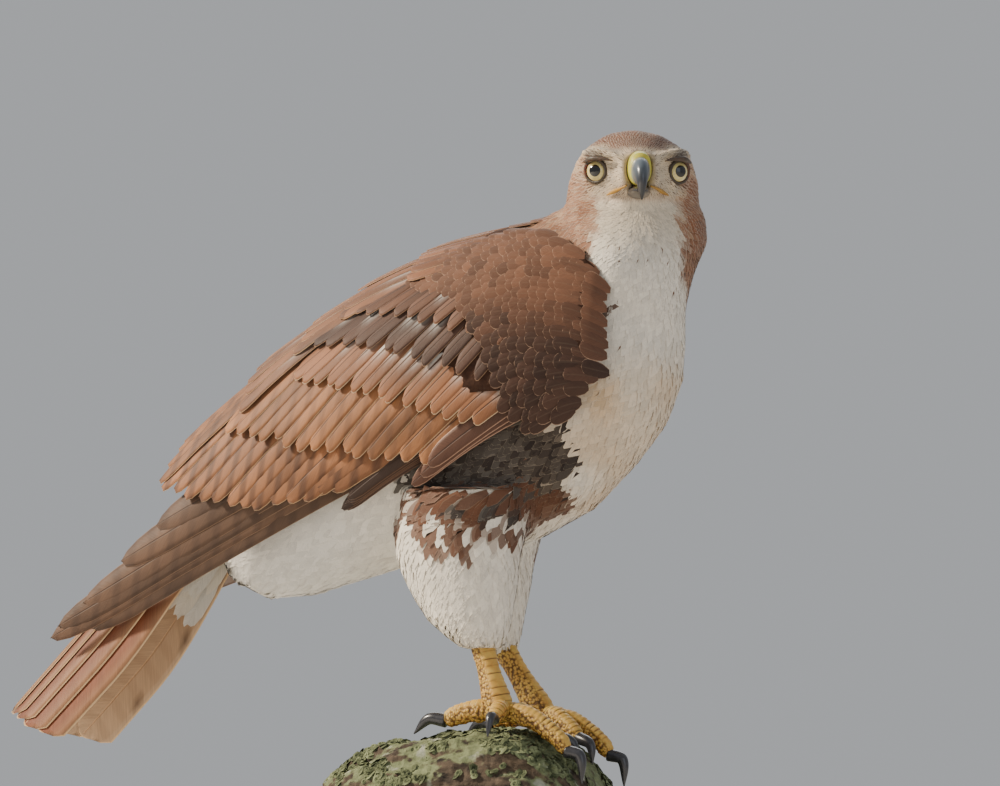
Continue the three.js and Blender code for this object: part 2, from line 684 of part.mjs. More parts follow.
const SIDES = { left: 1, right: -1 };
const eyes = (grow) => Object.values(SIDES).map((side) => ball(eyeCentre(side), EYE.radius + grow, 12, 8));

// The head's pieces, in the head's frame
let skullPiece = skull();
for (const side of Object.values(SIDES)) skullPiece = skullPiece.add(browRidge(side)).add(lids(side));
const mouths = Object.values(SIDES).map((side) => tube(GAPE.map(([x, y, z]) => vec(x, side * y, z)), [1, 0.9, 0.6], 5, 4));
for (const cut of [...eyes(GAP), ...mouths, cere(GAP), upperBill(GAP), lowerBill(GAP)]) skullPiece = skullPiece.subtract(cut);
place(head, "head", skullPiece, "face");
for (const [name, side] of Object.entries(SIDES)) place(head, `eye_${name}`, ball(eyeCentre(side), EYE.radius, 12, 8), "iris");
let cerePiece = cere();
for (const side of Object.values(SIDES))
  cerePiece = cerePiece.subtract(ball(vec(NOSTRIL.x, side * NOSTRIL.y, NOSTRIL.z), NOSTRIL.radius, 8, 6));
place(head, "cere", cerePiece.subtract(lowerBill(GAP)), "cere");
place(head, "bill_upper", upperBill().subtract(lowerBill(GAP)), "horn");
place(head, "bill_lower", lowerBill(), "horn");

// The trunk and what grows from it, each cut clear of what it meets
const inBird = (made) => made.transform(headMatrix.toArray());
const headRoom = inBird(skull(GAP));
const torsoRoom = torso(GAP);
const neckRoom = neck(GAP);
place(bird, "neck", neck().subtract(torsoRoom).subtract(headRoom), "cream");
place(bird, "torso", torso().subtract(headRoom), "cream");
place(bird, "tail", tail().subtract(torsoRoom), "rufous");

const perchRoom = perch(GAP);
for (const [name, side] of Object.entries(SIDES)) {
  const leg = LEG[name];
  place(bird, `wing_${name}`, wing(side).subtract(torsoRoom).subtract(neckRoom).subtract(thigh(leg, GAP)), "brown");
  place(bird, `thigh_${name}`, thigh(leg).subtract(torsoRoom), "cream");
  place(bird, `tarsus_${name}`, tarsus(leg).subtract(thigh(leg, GAP)).subtract(perchRoom), "skin");
  let taken = tarsus(leg, GAP);
  for (const [toeName, spec] of Object.entries(TOES)) {
    const made = toe(leg, spec);
    const clear = made.subtract(taken).subtract(claw(leg, spec, GAP)).subtract(perchRoom);
    place(bird, `toe_${toeName}_${name}`, clear, "skin");
    place(bird, `claw_${toeName}_${name}`, claw(leg, spec).subtract(perchRoom), "horn");
    taken = taken.add(made);
  }
}

place(bird, "perch", perch(), "bark");
place(hawk, "stand_base", standBase(), "walnut");
ROD.at.forEach((x, i) => {
  const height = PERCH.top - 60 - BASE.height - GAP;
  const rod = solid(new THREE.CylinderGeometry(ROD.radius, ROD.radius, height, 24))
    .rotate([90, 0, 0])
    .translate([x, 0, BASE.height + GAP + height / 2]);
  place(hawk, `stand_rod_${i + 1}`, rod.subtract(perch(GAP).translate([0, 0, PERCH.top])), "steel");
});

export default hawk;
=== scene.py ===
"""Looks of the life-size red-tailed hawk on its branch and display stand.

Lengths of the bird are in millimetres above the branch's top and become metres in to_row().
The bird faces +X and its left side is +Y.
"""

import math

import bmesh
import bpy
import numpy as np
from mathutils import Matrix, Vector
from mathutils.bvhtree import BVHTree
from mathutils.kdtree import KDTree


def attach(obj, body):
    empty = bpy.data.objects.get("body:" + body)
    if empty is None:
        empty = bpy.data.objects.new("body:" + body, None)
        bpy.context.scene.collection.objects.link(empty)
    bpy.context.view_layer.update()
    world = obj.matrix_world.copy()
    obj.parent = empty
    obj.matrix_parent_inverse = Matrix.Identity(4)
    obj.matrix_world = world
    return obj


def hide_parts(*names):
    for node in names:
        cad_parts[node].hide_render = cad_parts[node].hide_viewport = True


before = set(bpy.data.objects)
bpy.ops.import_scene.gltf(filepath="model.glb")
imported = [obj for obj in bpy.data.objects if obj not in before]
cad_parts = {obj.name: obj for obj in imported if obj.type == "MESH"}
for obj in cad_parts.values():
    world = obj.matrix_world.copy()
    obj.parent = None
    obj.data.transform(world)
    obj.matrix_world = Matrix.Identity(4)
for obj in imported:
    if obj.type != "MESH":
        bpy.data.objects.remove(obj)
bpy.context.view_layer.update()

# The photograph's view: from the bird's right front, a little below its breast, from two metres.
# The camera looks slightly up, and the stand's base lies below its frame.
camera = bpy.data.objects.new("camera", bpy.data.cameras.new("camera"))
camera.location = (0.816, -1.8587, 0.0536)
camera.rotation_euler = (
    Vector((0.0104, -0.0494, 0.3319)) - camera.location
).to_track_quat("-Z", "Y").to_euler()
camera.data.sensor_width = 36.0
camera.data.lens = 130.9
bpy.context.scene.collection.objects.link(camera)
bpy.context.scene.camera = camera


def linear(shade):
    """An sRGB hex colour as linear RGBA."""
    parts = [int(shade[i : i + 2], 16) / 255 for i in (1, 3, 5)]
    return tuple(c / 12.92 if c <= 0.04045 else ((c + 0.055) / 1.055) ** 2.4 for c in parts) + (1.0,)


def rgb(shade):
    """An sRGB hex colour as a linear array."""
    return np.array(linear(shade)[:3])


def node(tree, kind, inputs=None, out=0, **settings):
    """Adds a node with its settings, sets or links its inputs, and returns one of its outputs."""
    made = tree.nodes.new(kind)
    for name, value in settings.items():
        setattr(made, name, value)
    for key, value in (inputs or {}).items():
        if isinstance(value, bpy.types.NodeSocket):
            tree.links.new(value, made.inputs[key])
        else:
            made.inputs[key].default_value = value
    return made.outputs[out]


# What a mix node needs to mix colours, and a range node to ease in and out.
COLOURS = dict(out=2, data_type="RGBA")
EASED = dict(interpolation_type="SMOOTHSTEP")


def start_finish(name, **sockets):
    """A new material's tree and its Principled shader with the given plain sockets."""
    made = bpy.data.materials.new(name)
    made.use_nodes = True
    shader = made.node_tree.nodes["Principled BSDF"]
    for key, value in sockets.items():
        shader.inputs[key.replace("_", " ")].default_value = value
    return made, made.node_tree, shader


# The studio: a pale grey floor, a small warm key light like low sun from the upper left of the
# camera, a weak cool fill from its right, a light behind and an even pale surround.
floor_mesh = bpy.data.meshes.new("floor")
floor_mesh.from_pydata([(-8, -8, 0), (8, -8, 0), (8, 8, 0), (-8, 8, 0)], [], [(0, 1, 2, 3)])
floor = bpy.data.objects.new("floor", floor_mesh)
bpy.context.scene.collection.objects.link(floor)
floor_paint, tree, shader = start_finish("floor_paint", Roughness=0.85)
speck = node(tree, "ShaderNodeTexNoise", {"Scale": 60.0, "Detail": 4.0})
colour = node(tree, "ShaderNodeMix", {0: speck, 6: linear("#d9d7d3"), 7: linear("#e4e2de")}, **COLOURS)
tree.links.new(colour, shader.inputs["Base Color"])
floor_mesh.materials.append(floor_paint)

studio = bpy.data.worlds.new("studio")
studio.use_nodes = True
studio.node_tree.nodes["Background"].inputs["Color"].default_value = linear("#dfe2e6")
studio.node_tree.nodes["Background"].inputs["Strength"].default_value = 0.55
bpy.context.scene.world = studio
for name, place, size, power, tint in (
    ("key", (-2.15, -1.25, 1.9), 0.35, 165.0, "#fff1dc"),
    ("fill", (2.0, -1.6, 0.7), 1.6, 7.0, "#e6eeff"),
    ("back", (-0.6, 1.8, 1.6), 1.4, 14.0, "#ffffff"),
):
    lamp = bpy.data.lights.new(name, "AREA")
    lamp.size, lamp.energy, lamp.color = size, power, linear(tint)[:3]
    holder = bpy.data.objects.new(name, lamp)
    holder.location = place
    holder.rotation_euler = (Vector((0, 0, 0.3)) - holder.location).to_track_quat("-Z", "Y").to_euler()
    bpy.context.scene.collection.objects.link(holder)

# The display stand: a flat walnut base and two ground steel rods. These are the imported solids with
# better finishes. Oiled walnut shows dark growth lines, and the rods a fine turned grain.
walnut, tree, shader = start_finish(
    "oiled_walnut", Roughness=0.42, IOR=1.5, Coat_Weight=0.15, Coat_Roughness=0.25
)
spot = node(tree, "ShaderNodeTexCoord", out="Object")
grain = node(tree, "ShaderNodeMapping", {"Vector": spot, "Scale": (2.0, 26.0, 26.0)})
rings = node(tree, "ShaderNodeTexNoise", {"Vector": grain, "Scale": 5.0, "Detail": 6.0, "Distortion": 0.8})
fine = node(tree, "ShaderNodeMapping", {"Vector": spot, "Scale": (60.0, 1500.0, 1500.0)})
pores = node(tree, "ShaderNodeTexNoise", {"Vector": fine, "Scale": 1.0})
ramp = node(tree, "ShaderNodeMapRange", {0: rings, 1: 0.35, 2: 0.65}, **EASED)
wood = node(tree, "ShaderNodeMix", {0: ramp, 6: linear("#3a2416"), 7: linear("#6d4729")}, **COLOURS)
wood = node(
    tree, "ShaderNodeMix", {0: pores, 6: wood, 7: linear("#2a1a10")}, blend_type="MULTIPLY", **COLOURS
)
tree.links.new(wood, shader.inputs["Base Color"])
bumps = node(tree, "ShaderNodeBump", {"Height": pores, "Strength": 0.15, "Distance": 0.0003})
tree.links.new(bumps, shader.inputs["Normal"])

steel, tree, shader = start_finish("ground_steel", Metallic=1.0, Roughness=0.3)
shader.inputs["Base Color"].default_value = linear("#b8b9bb")
spot = node(tree, "ShaderNodeTexCoord", out="Object")
turned = node(tree, "ShaderNodeMapping", {"Vector": spot, "Scale": (20.0, 20.0, 2500.0)})
scratch = node(tree, "ShaderNodeTexNoise", {"Vector": turned, "Scale": 1.0, "Detail": 3.0})
bumps = node(tree, "ShaderNodeBump", {"Height": scratch, "Strength": 0.12, "Distance": 0.0002})
tree.links.new(bumps, shader.inputs["Normal"])
gloss = node(tree, "ShaderNodeMapRange", {0: scratch, 3: 0.24, 4: 0.4})
tree.links.new(gloss, shader.inputs["Roughness"])
for name, finish in (("stand_base", walnut), ("stand_rod_1", steel), ("stand_rod_2", steel)):
    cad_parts[name].data.materials.clear()
    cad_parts[name].data.materials.append(finish)

# The branch: a short cut length of a thick old limb, grey-brown ridged bark with a crust of green
# and pale lichen on top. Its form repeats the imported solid's rows with the ridges of the bark added.
PERCH_TOP = 150.0


def to_row(points):
    """Millimetres above the branch's top, as metres in the shared frame."""
    return (np.asarray(points, float) + (0.0, 0.0, PERCH_TOP)) * 0.001


def in_mm(points):
    """Metres of the shared frame as millimetres above the branch's top."""
    return points * 1000 - (0, 0, PERCH_TOP)


def smooth(rows, at):
    """The columns of rows (each starts with its place) at places on a smooth curve through them."""
    rows = np.asarray(rows, float)
    place, value = rows[:, 0], rows[:, 1:]
    at = np.clip(np.asarray(at, float), place[0], place[-1])
    i = np.clip(np.searchsorted(place, at, side="right") - 1, 0, len(place) - 2)
    before, after = np.maximum(np.arange(len(place)) - 1, 0), np.minimum(
        np.arange(len(place)) + 1, len(place) - 1
    )
    slope = (value[after] - value[before]) / (place[after] - place[before])[:, None]
    span = (place[i + 1] - place[i])[..., None]
    t = (at[..., None] - place[i][..., None]) / span
    return (
        value[i] * (1 + 2 * t) * (1 - t) ** 2
        + slope[i] * span * t * (1 - t) ** 2
        + value[i + 1] * (3 - 2 * t) * t**2
        + slope[i + 1] * span * (t - 1) * t**2
    )


def ripple(points, length, seed, waves=7):
    """Even, smooth random height between about -1 and 1 with bumps of the given length."""
    draw = np.random.default_rng(seed)
    turn = draw.normal(size=(waves, np.shape(points)[-1]))
    turn /= np.linalg.norm(turn, axis=1, keepdims=True)
    turn *= (2 * math.pi / length) * draw.uniform(0.7, 1.5, (waves, 1))
    return np.sin(np.asarray(points) @ turn.T + draw.uniform(0, 6.28, waves)).sum(-1) / waves**0.5 / 1.2


def add_piece(name, points, faces, finish, replaces=()):
    """A mesh in the shared frame that rides on the one body."""
    mesh = bpy.data.meshes.new(name)
    faces = faces if isinstance(faces, list) else faces.tolist()
    mesh.from_pydata(np.asarray(points, float).reshape(-1, 3).tolist(), [], faces)
    mesh.materials.append(finish)
    mesh.shade_smooth()
    made = bpy.data.objects.new(name, mesh)
    bpy.context.scene.collection.objects.link(made)
    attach(made, "root")
    if replaces:
        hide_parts(*replaces)
    return made


def tube_faces(rings, sides):
    """Faces of a loft with both ends closed, outward for rings that turn right-handed along it."""
    i, j = np.meshgrid(np.arange(rings - 1), np.arange(sides), indexing="ij")
    k = (j + 1) % sides
    quads = np.stack(
        [i * sides + j, i * sides + k, (i + 1) * sides + k, (i + 1) * sides + j], -1
    ).reshape(-1, 4)
    last = (rings - 1) * sides
    return quads.tolist() + [list(range(sides - 1, -1, -1)), list(range(last, last + sides))]


def outward(made):
    """Turns every face of a closed piece outwards."""
    work = bmesh.new()
    work.from_mesh(made.data)
    bmesh.ops.recalc_face_normals(work, faces=work.faces)
    work.to_mesh(made.data)
    work.free()
    return made


LOG = [
    (-120, -44, -84, 32), (-112, -30, -88, 42), (-92, -14, -90, 51), (-66, -6, -90, 56), (-30, -1, -88, 58),
    (6, 0, -86, 58), (22, -4, -84, 54), (34, -15, -80, 47), (44, -30, -74, 38), (50, -46, -66, 24),
]
LOG_RINGS, LOG_SIDES, LOG_BACK, LOG_FRONT = 190, 220, -106, 50
x = np.linspace(LOG_BACK, LOG_FRONT, LOG_RINGS)[:, None]
a = np.linspace(0, 2 * math.pi, LOG_SIDES, endpoint=False)[None, :]
top, under, half = (smooth(LOG, x)[..., c] for c in range(3))
swell = 1 + 0.02 * np.sin(7 * a + x / 30) + 0.016 * np.sin(11 * a - x / 13) + 0.012 * np.sin(x / 7 + 2 * a)
high, wide = np.sign(np.cos(a)) * np.abs(np.cos(a)) ** 0.8, np.sign(np.sin(a)) * np.abs(np.sin(a)) ** 0.8
log = np.stack([x + 0 * a, half * wide * swell, (top + under) / 2 + (top - under) / 2 * high * swell], -1)
cell = np.stack([x / 26 + 0 * a, 30 * np.cos(a) / 9 + 0 * x, 30 * np.sin(a) / 9 + 0 * x], -1)
ridge = 1 - np.abs(ripple(cell, 2.4, 5)) * 1.7
flake = np.clip(ripple(log, 9, 6), -0.2, 1) + 0.5 * ripple(log, 4.2, 7) + 0.3 * ripple(log, 2.2, 8)
out = log - np.stack([x + 0 * a, 0 * half * a, (top + under) / 2 + 0 * a], -1)
out /= np.maximum(np.linalg.norm(out, axis=-1, keepdims=True), 1e-6)
clear = np.clip(np.hypot(x / 44, (half * wide) / 44), 0, 1)[..., None] ** 3
log = log + out * (1.5 * ridge[..., None] + 0.85 * flake[..., None] - 1.7) * (0.35 + 0.65 * clear)

bark, tree, shader = start_finish("lichened_bark", Roughness=0.9, IOR=1.45)
spot = node(tree, "ShaderNodeTexCoord", out="Object")
rough = node(tree, "ShaderNodeTexNoise", {"Vector": spot, "Scale": 260.0, "Detail": 8.0, "Roughness": 0.65})
patch = node(tree, "ShaderNodeTexNoise", {"Vector": spot, "Scale": 42.0, "Detail": 5.0, "Roughness": 0.6})
crust = node(tree, "ShaderNodeTexVoronoi", {"Vector": spot, "Scale": 150.0, "Randomness": 1.0})
crack = node(tree, "ShaderNodeMapping", {"Vector": spot, "Scale": (35.0, 150.0, 150.0)})
crack = node(tree, "ShaderNodeTexNoise", {"Vector": crack, "Scale": 1.0, "Detail": 6.0, "Roughness": 0.7})
wood = node(tree, "ShaderNodeMapRange", {0: crack, 1: 0.35, 2: 0.7})
wood = node(tree, "ShaderNodeMix", {0: wood, 6: linear("#1e1813"), 7: linear("#6a5a49")}, **COLOURS)
facing = node(tree, "ShaderNodeSeparateXYZ", {0: node(tree, "ShaderNodeNewGeometry", out="Normal")}, out="Z")
growth = node(tree, "ShaderNodeMath", {0: facing, 1: 0.16}, operation="MULTIPLY")
growth = node(tree, "ShaderNodeMath", {0: patch, 1: growth}, operation="ADD")
growth = node(tree, "ShaderNodeMapRange", {0: growth, 1: 0.55, 2: 0.64}, **EASED)
lichen = node(tree, "ShaderNodeMix", {0: rough, 6: linear("#414a2c"), 7: linear("#9aa278")}, **COLOURS)
wood = node(tree, "ShaderNodeMix", {0: growth, 6: wood, 7: lichen}, **COLOURS)
pale = node(tree, "ShaderNodeTexNoise", {"Vector": spot, "Scale": 85.0, "Detail": 3.0})
pale = node(tree, "ShaderNodeMapRange", {0: pale, 1: 0.6, 2: 0.68})
wood = node(tree, "ShaderNodeMix", {0: pale, 6: wood, 7: linear("#9da08f")}, **COLOURS)
tree.links.new(wood, shader.inputs["Base Color"])
relief = node(tree, "ShaderNodeMath", {0: crust, 1: 0.6}, operation="MULTIPLY")
relief = node(tree, "ShaderNodeMath", {0: rough, 1: relief}, operation="SUBTRACT")
bumps = node(tree, "ShaderNodeBump", {"Height": relief, "Strength": 0.9, "Distance": 0.0016})
tree.links.new(bumps, shader.inputs["Normal"])
branch = outward(
    add_piece("branch_bark", to_row(log), tube_faces(LOG_RINGS, LOG_SIDES), bark, ["perch"])
)

# Moss and leafy lichen: small curled lobes, thickest on top of the branch, set by Geometry Nodes on
# points of the bark that look up.
lobe_finish, tree, shader = start_finish("leafy_lichen", Roughness=0.85)
spot = node(tree, "ShaderNodeTexCoord", out="Object")
tone = node(tree, "ShaderNodeTexNoise", {"Vector": spot, "Scale": 120.0, "Detail": 3.0})
tone = node(tree, "ShaderNodeMapRange", {0: tone, 1: 0.35, 2: 0.65})
colour = node(tree, "ShaderNodeMix", {0: tone, 6: linear("#353d22"), 7: linear("#858d66")}, **COLOURS)
tree.links.new(colour, shader.inputs["Base Color"])
lobe_mesh = bpy.data.meshes.new("lobe")
LOBE_RADIUS, LOBE_SIDES = 0.0026, 6
lobe = [(0, 0, 0)]
for share, rise in ((0.5, 0.0009), (1.0, 0.0004)):
    for t in np.arange(LOBE_SIDES) * 2 * math.pi / LOBE_SIDES + share:
        lobe.append((LOBE_RADIUS * share * math.cos(t), LOBE_RADIUS * share * math.sin(t), rise))
pairs = [(1 + i, 1 + (i + 1) % LOBE_SIDES) for i in range(LOBE_SIDES)]
lobe_faces = [(0, i, j) for i, j in pairs] + [(i, i + LOBE_SIDES, j + LOBE_SIDES, j) for i, j in pairs]
lobe_mesh.from_pydata(lobe, [], lobe_faces)
lobe_part = bpy.data.objects.new("lobe", lobe_mesh)
grow = bpy.data.node_groups.new("lichen_growth", "GeometryNodeTree")
for name, kind in (
    ("Geometry", "NodeSocketGeometry"), ("Density", "NodeSocketFloat"), ("Least up", "NodeSocketFloat"),
    ("Seed", "NodeSocketInt"),
):
    grow.interface.new_socket(name, in_out="INPUT", socket_type=kind)
grow.interface.new_socket("Geometry", in_out="OUTPUT", socket_type="NodeSocketGeometry")
given = grow.nodes.new("NodeGroupInput")
slope = node(grow, "ShaderNodeSeparateXYZ", {0: node(grow, "GeometryNodeInputNormal")}, out="Z")
upward = node(grow, "FunctionNodeCompare", {0: slope, 1: given.outputs["Least up"]}, operation="GREATER_THAN")
spread = grow.nodes.new("GeometryNodeDistributePointsOnFaces")
for socket, source in (("Mesh", "Geometry"), ("Density", "Density"), ("Seed", "Seed")):
    grow.links.new(given.outputs[source], spread.inputs[socket])
at = node(grow, "GeometryNodeInputPosition")
colony = node(grow, "ShaderNodeTexNoise", {"Vector": at, "Scale": 48.0, "Detail": 3.0})
colony = node(grow, "FunctionNodeCompare", {0: colony, 1: 0.5}, operation="GREATER_THAN")
grow.links.new(
    node(grow, "FunctionNodeBooleanMath", {0: upward, 1: colony}, operation="AND"),
    spread.inputs["Selection"],
)
size = node(grow, "FunctionNodeRandomValue", {2: 0.45, 3: 1.25, "Seed": 3}, out=1)
one_lobe = node(grow, "GeometryNodeObjectInfo", {"Object": lobe_part}, out="Geometry")
lobes = node(grow, "GeometryNodeInstanceOnPoints", {
    "Points": spread.outputs["Points"],
    "Instance": one_lobe,
    "Rotation": spread.outputs["Rotation"],
    "Scale": size,
})
least, most = (-0.5, -0.5, 0.0), (0.5, 0.5, 6.28)
curl = node(grow, "FunctionNodeRandomValue", {0: least, 1: most, "Seed": 4}, data_type="FLOAT_VECTOR")
lobes = node(grow, "GeometryNodeRotateInstances", {"Instances": lobes, "Rotation": curl})
lobes = node(grow, "GeometryNodeRealizeInstances", {"Geometry": lobes})
lobes = node(grow, "GeometryNodeSetMaterial", {"Geometry": lobes, "Material": lobe_finish})
grow.links.new(lobes, grow.nodes.new("NodeGroupOutput").inputs["Geometry"])
host = bpy.data.objects.new("lichen_host", branch.data.copy())
bpy.context.scene.collection.objects.link(host)
growing = host.modifiers.new("lichen", "NODES")
growing.node_group = grow
for item in grow.interface.items_tree:
    if item.in_out == "INPUT" and item.name in ("Density", "Least up", "Seed"):
        growing[item.identifier] = {"Density": 170000.0, "Least up": 0.35, "Seed": 11}[item.name]
lichen_mesh = bpy.data.meshes.new_from_object(host.evaluated_get(bpy.context.evaluated_depsgraph_get()))
bpy.data.objects.remove(host)
bpy.data.objects.remove(lobe_part)
lichen_piece = bpy.data.objects.new("branch_lichen", lichen_mesh)
bpy.context.scene.collection.objects.link(lichen_piece)
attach(lichen_piece, "root")

# The skin under the feathers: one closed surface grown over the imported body, neck, head and thighs,
# so that no joint shows. It lies inside them by the depth of the coat.
HEAD_AT, HEAD_YAW, HEAD_PITCH = np.array([74.6, -7.0, 308.0]), math.radians(-64), math.radians(8)
yaw = np.array(
    [[math.cos(HEAD_YAW), -math.sin(HEAD_YAW), 0], [math.sin(HEAD_YAW), math.cos(HEAD_YAW), 0], [0, 0, 1]]
)
pitch = np.array(
    [
        [math.cos(HEAD_PITCH), 0, math.sin(HEAD_PITCH)], [0, 1, 0],
        [-math.sin(HEAD_PITCH), 0, math.cos(HEAD_PITCH)],
    ]
)
HEAD_TURN = yaw @ pitch


def from_head(points):
    """Points of the head's own frame (+X to the bill, +Y its left) in the bird's millimetres."""
    return np.asarray(points, float) @ HEAD_TURN.T + HEAD_AT


def in_head(points):
    """The bird's millimetres in the head's own frame."""
    return (np.asarray(points, float) - HEAD_AT) @ HEAD_TURN


def ease(low, high, value):
    """0 below low and 1 above high, with a smooth step between."""
    t = np.clip((np.asarray(value, float) - low) / (high - low), 0, 1)
    return t * t * (3 - 2 * t)


FLESH = ["torso", "neck", "head", "thigh_left", "thigh_right"]
flesh_mesh = bpy.data.meshes.new("flesh")
work = bmesh.new()
for name in FLESH:
    work.from_mesh(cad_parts[name].data)
bmesh.ops.remove_doubles(work, verts=work.verts, dist=1e-5)
work.to_mesh(flesh_mesh)
work.free()
flesh = bpy.data.objects.new("flesh", flesh_mesh)
bpy.context.scene.collection.objects.link(flesh)
shrink_wrap = flesh.modifiers.new("one_surface", "REMESH")
shrink_wrap.mode, shrink_wrap.voxel_size = "VOXEL", 0.0024
even = flesh.modifiers.new("even", "SMOOTH")
even.factor, even.iterations = 0.5, 10
skin_mesh = bpy.data.meshes.new_from_object(flesh.evaluated_get(bpy.context.evaluated_depsgraph_get()))
bpy.data.objects.remove(flesh)
skin_mesh.name = "skin"
count = len(skin_mesh.vertices)
points, normals = np.empty(count * 3), np.empty(count * 3)
skin_mesh.vertices.foreach_get("co", points)
skin_mesh.vertex_normals.foreach_get("vector", normals)
points, normals = points.reshape(-1, 3), normals.reshape(-1, 3)
body = in_mm(points)
face = in_head(body)
near_face = ease(62, 40, np.linalg.norm(face, axis=1)) * ease(-34, -18, face[:, 2])
bare = ease(9.5, 6, np.minimum(*(np.linalg.norm(face - (12, s * 24, 0), axis=1) for s in (1, -1))))
beak_root = ease(22, 27, face[:, 0]) * near_face
depth = 2.8 * (1 - near_face) + 1.6 * near_face * (1 - bare) * (1 - beak_root)
points -= normals * depth[:, None] * 0.001
# The coat is deepest on the nape, where it hides the step to the back, on the ruff and the crown.
for seen_from, around, reach, rise in (
    (body, (26, -5, 268), 15, 9.0),
    (body, (70, -10, 335), 17, 2.2),
    (body, (66, -38, 246), 17, 5.0),
    (body, (66, 38, 246), 17, 5.0),
    (face, (-6, 33, -28), 14, 5.5),
    (face, (-8, -33, -22), 13, 5.0),
):
    fuller = np.exp(-(((seen_from - around) ** 2).sum(1) / (2 * reach**2)))
    points += normals * (rise * 0.001 * fuller)[:, None]
# The sockets: the skin falls back behind the front of each eye.
EYE_RADIUS, SOCKET_RADIUS, EYE_X, EYE_Y = 7.2, 8.8, 8.2, 21.0
EYE_OUT, GAZE_OUT = math.radians(36), math.radians(25)
face = in_head(in_mm(points))
for side in (1, -1):
    facing = np.array([math.cos(EYE_OUT), side * math.sin(EYE_OUT), 0.0])
    gap = face - (EYE_X, side * EYE_Y, 0)
    ahead = gap @ facing
    aside = np.linalg.norm(gap - ahead[:, None] * facing, axis=1)
    most = 1.8 + 7 * ease(6.0, SOCKET_RADIUS, aside)
    pushed = (aside < SOCKET_RADIUS) & (ahead > most)
    face[pushed] -= facing * (ahead - most)[pushed, None]
points = (face @ HEAD_TURN.T + HEAD_AT + (0, 0, PERCH_TOP)) * 0.001
skin_mesh.vertices.foreach_set("co", points.ravel())
skin_mesh.update()
skin_tree = BVHTree.FromPolygons([tuple(p) for p in points], [tuple(p.vertices) for p in skin_mesh.polygons])

# Colours of the plumage, from dark brown over rufous and cinnamon to cream, as on a young adult.
WHITE, CREAM, APRICOT = (rgb(c) for c in ("#ece3d3", "#dcc6a2", "#d6b489"))
RUFOUS, CINNAMON, BROWN, DARK = (rgb(c) for c in ("#85502f", "#a5795a", "#6b4631", "#33231b"))
GREY_WHITE, ASH = (rgb(c) for c in ("#dcd9d2", "#a39a8e"))


def mixed(first, second, share):
    """The first colour with a share of the second."""
    share = np.clip(share, 0, 1)[..., None]
    return first * (1 - share) + second * share


def plumage_colour(q):
    """Ground colour and brownness of the coat at points in the bird's millimetres, with painted shade over
    the eyes and on the left cheek.
    """
    f = in_head(q)
    wobble = ripple(q, 22, 21) * 7 + ripple(q, 8, 22) * 3
    headness = ease(60, 46, np.linalg.norm(f, axis=-1)) * ease(-44, -26, f[..., 2])
    turn = smooth([(200, -6.0), (228, -24), (258, -56), (300, -64.0)], q[..., 2])[..., 0]
    axis = smooth([(206, 60.0, 0.0), (254, 68, -1), (296, 69, 4)], q[..., 2])
    bearing = np.degrees(np.arctan2(q[..., 1] - axis[..., 1], q[..., 0] - axis[..., 0])) - turn
    bearing = np.abs((bearing + 180) % 360 - 180)
    width = smooth([(190, 118.0), (222, 84), (244, 54), (262, 41), (280, 38), (300, 44)], q[..., 2])[..., 0]
    hind = ease(width - 9, width + 9, bearing + wobble)
    above = ease(
        0, 26,
        q[..., 2] - smooth(
            [(-200, 128.0), (-120, 176), (-40, 215), (20, 222), (60, 226)], q[..., 0]
        )[..., 0] + wobble,
    )
    brown = np.where(q[..., 2] > 214, hind, above)
    ground = mixed(
        WHITE, APRICOT,
        0.75 * ease(60, 30, np.abs(q[..., 2] - 165)) * ease(10, 60, q[..., 0]) * (
            0.7 + 0.3 * ripple(q, 40, 23)
        ),
    )
    ground = mixed(ground, GREY_WHITE, ease(-30, -90, q[..., 0]) * 0.8)
    coat = mixed(BROWN, CINNAMON, 0.5 + 0.5 * ripple(q, 30, 24))
    coat = mixed(coat, RUFOUS, 0.4 * ease(232, 262, q[..., 2]) * (1 - headness * 0.4))
    body_colour = mixed(ground, coat, brown)
    crown = ease(9, 15, f[..., 2] + 0.12 * f[..., 0]) * ease(27, 20, f[..., 0])
    throat = ease(-11, -17, f[..., 2]) * ease(
        23, 16, np.abs(f[..., 1]) + ripple(q, 9, 29) * 2
    ) * ease(-8, 4, f[..., 0])
    mask = ease(4, 12, f[..., 0]) * ease(-16, -10, f[..., 2]) * ease(13, 8, f[..., 2])
    brow = ease(6.5, 10, f[..., 2]) * ease(15.5, 12, f[..., 2]) * ease(-6, 2, f[..., 0]) * ease(
        12, 17, np.abs(f[..., 1])
    )
    cheek = mixed(
        mixed(CINNAMON, RUFOUS, 0.4 + 0.4 * ripple(q, 14, 25)), CREAM,
        0.35 * ease(-6, 4, f[..., 2]) + 0.2 * ripple(q, 7, 26),
    )
    # Painted shade: the lower cheek on the bird's left side only, the side away from the key light, darkens
    # to brown.
    cheek = mixed(cheek, BROWN, 0.55 * ease(24, 34, f[..., 1]) * ease(2, -14, f[..., 2]))
    head_colour = mixed(cheek, mixed(BROWN, RUFOUS, 0.25 + 0.3 * ripple(q, 10, 27)), crown)
    # Painted shade: the feathers and skin over each eye, under the brow, darken to dark brown as the brow's
    # shadow.
    socket = np.minimum(
        *(np.linalg.norm((f - (15, s * 25, 5.5)) / (1.0, 1.2, 0.7), axis=-1) for s in (1, -1))
    )
    head_colour = mixed(
        head_colour, mixed(CREAM, ASH, 0.35 + 0.3 * ripple(q, 8, 28)), np.maximum(mask * 0.9, brow * 0.85)
    )
    head_colour = mixed(head_colour, mixed(WHITE, CREAM, 0.5), throat)
    head_colour = mixed(head_colour, DARK, 0.8 * ease(9.5, 6.5, socket))
    return mixed(body_colour, head_colour, headness), brown * (1 - headness), headness, f


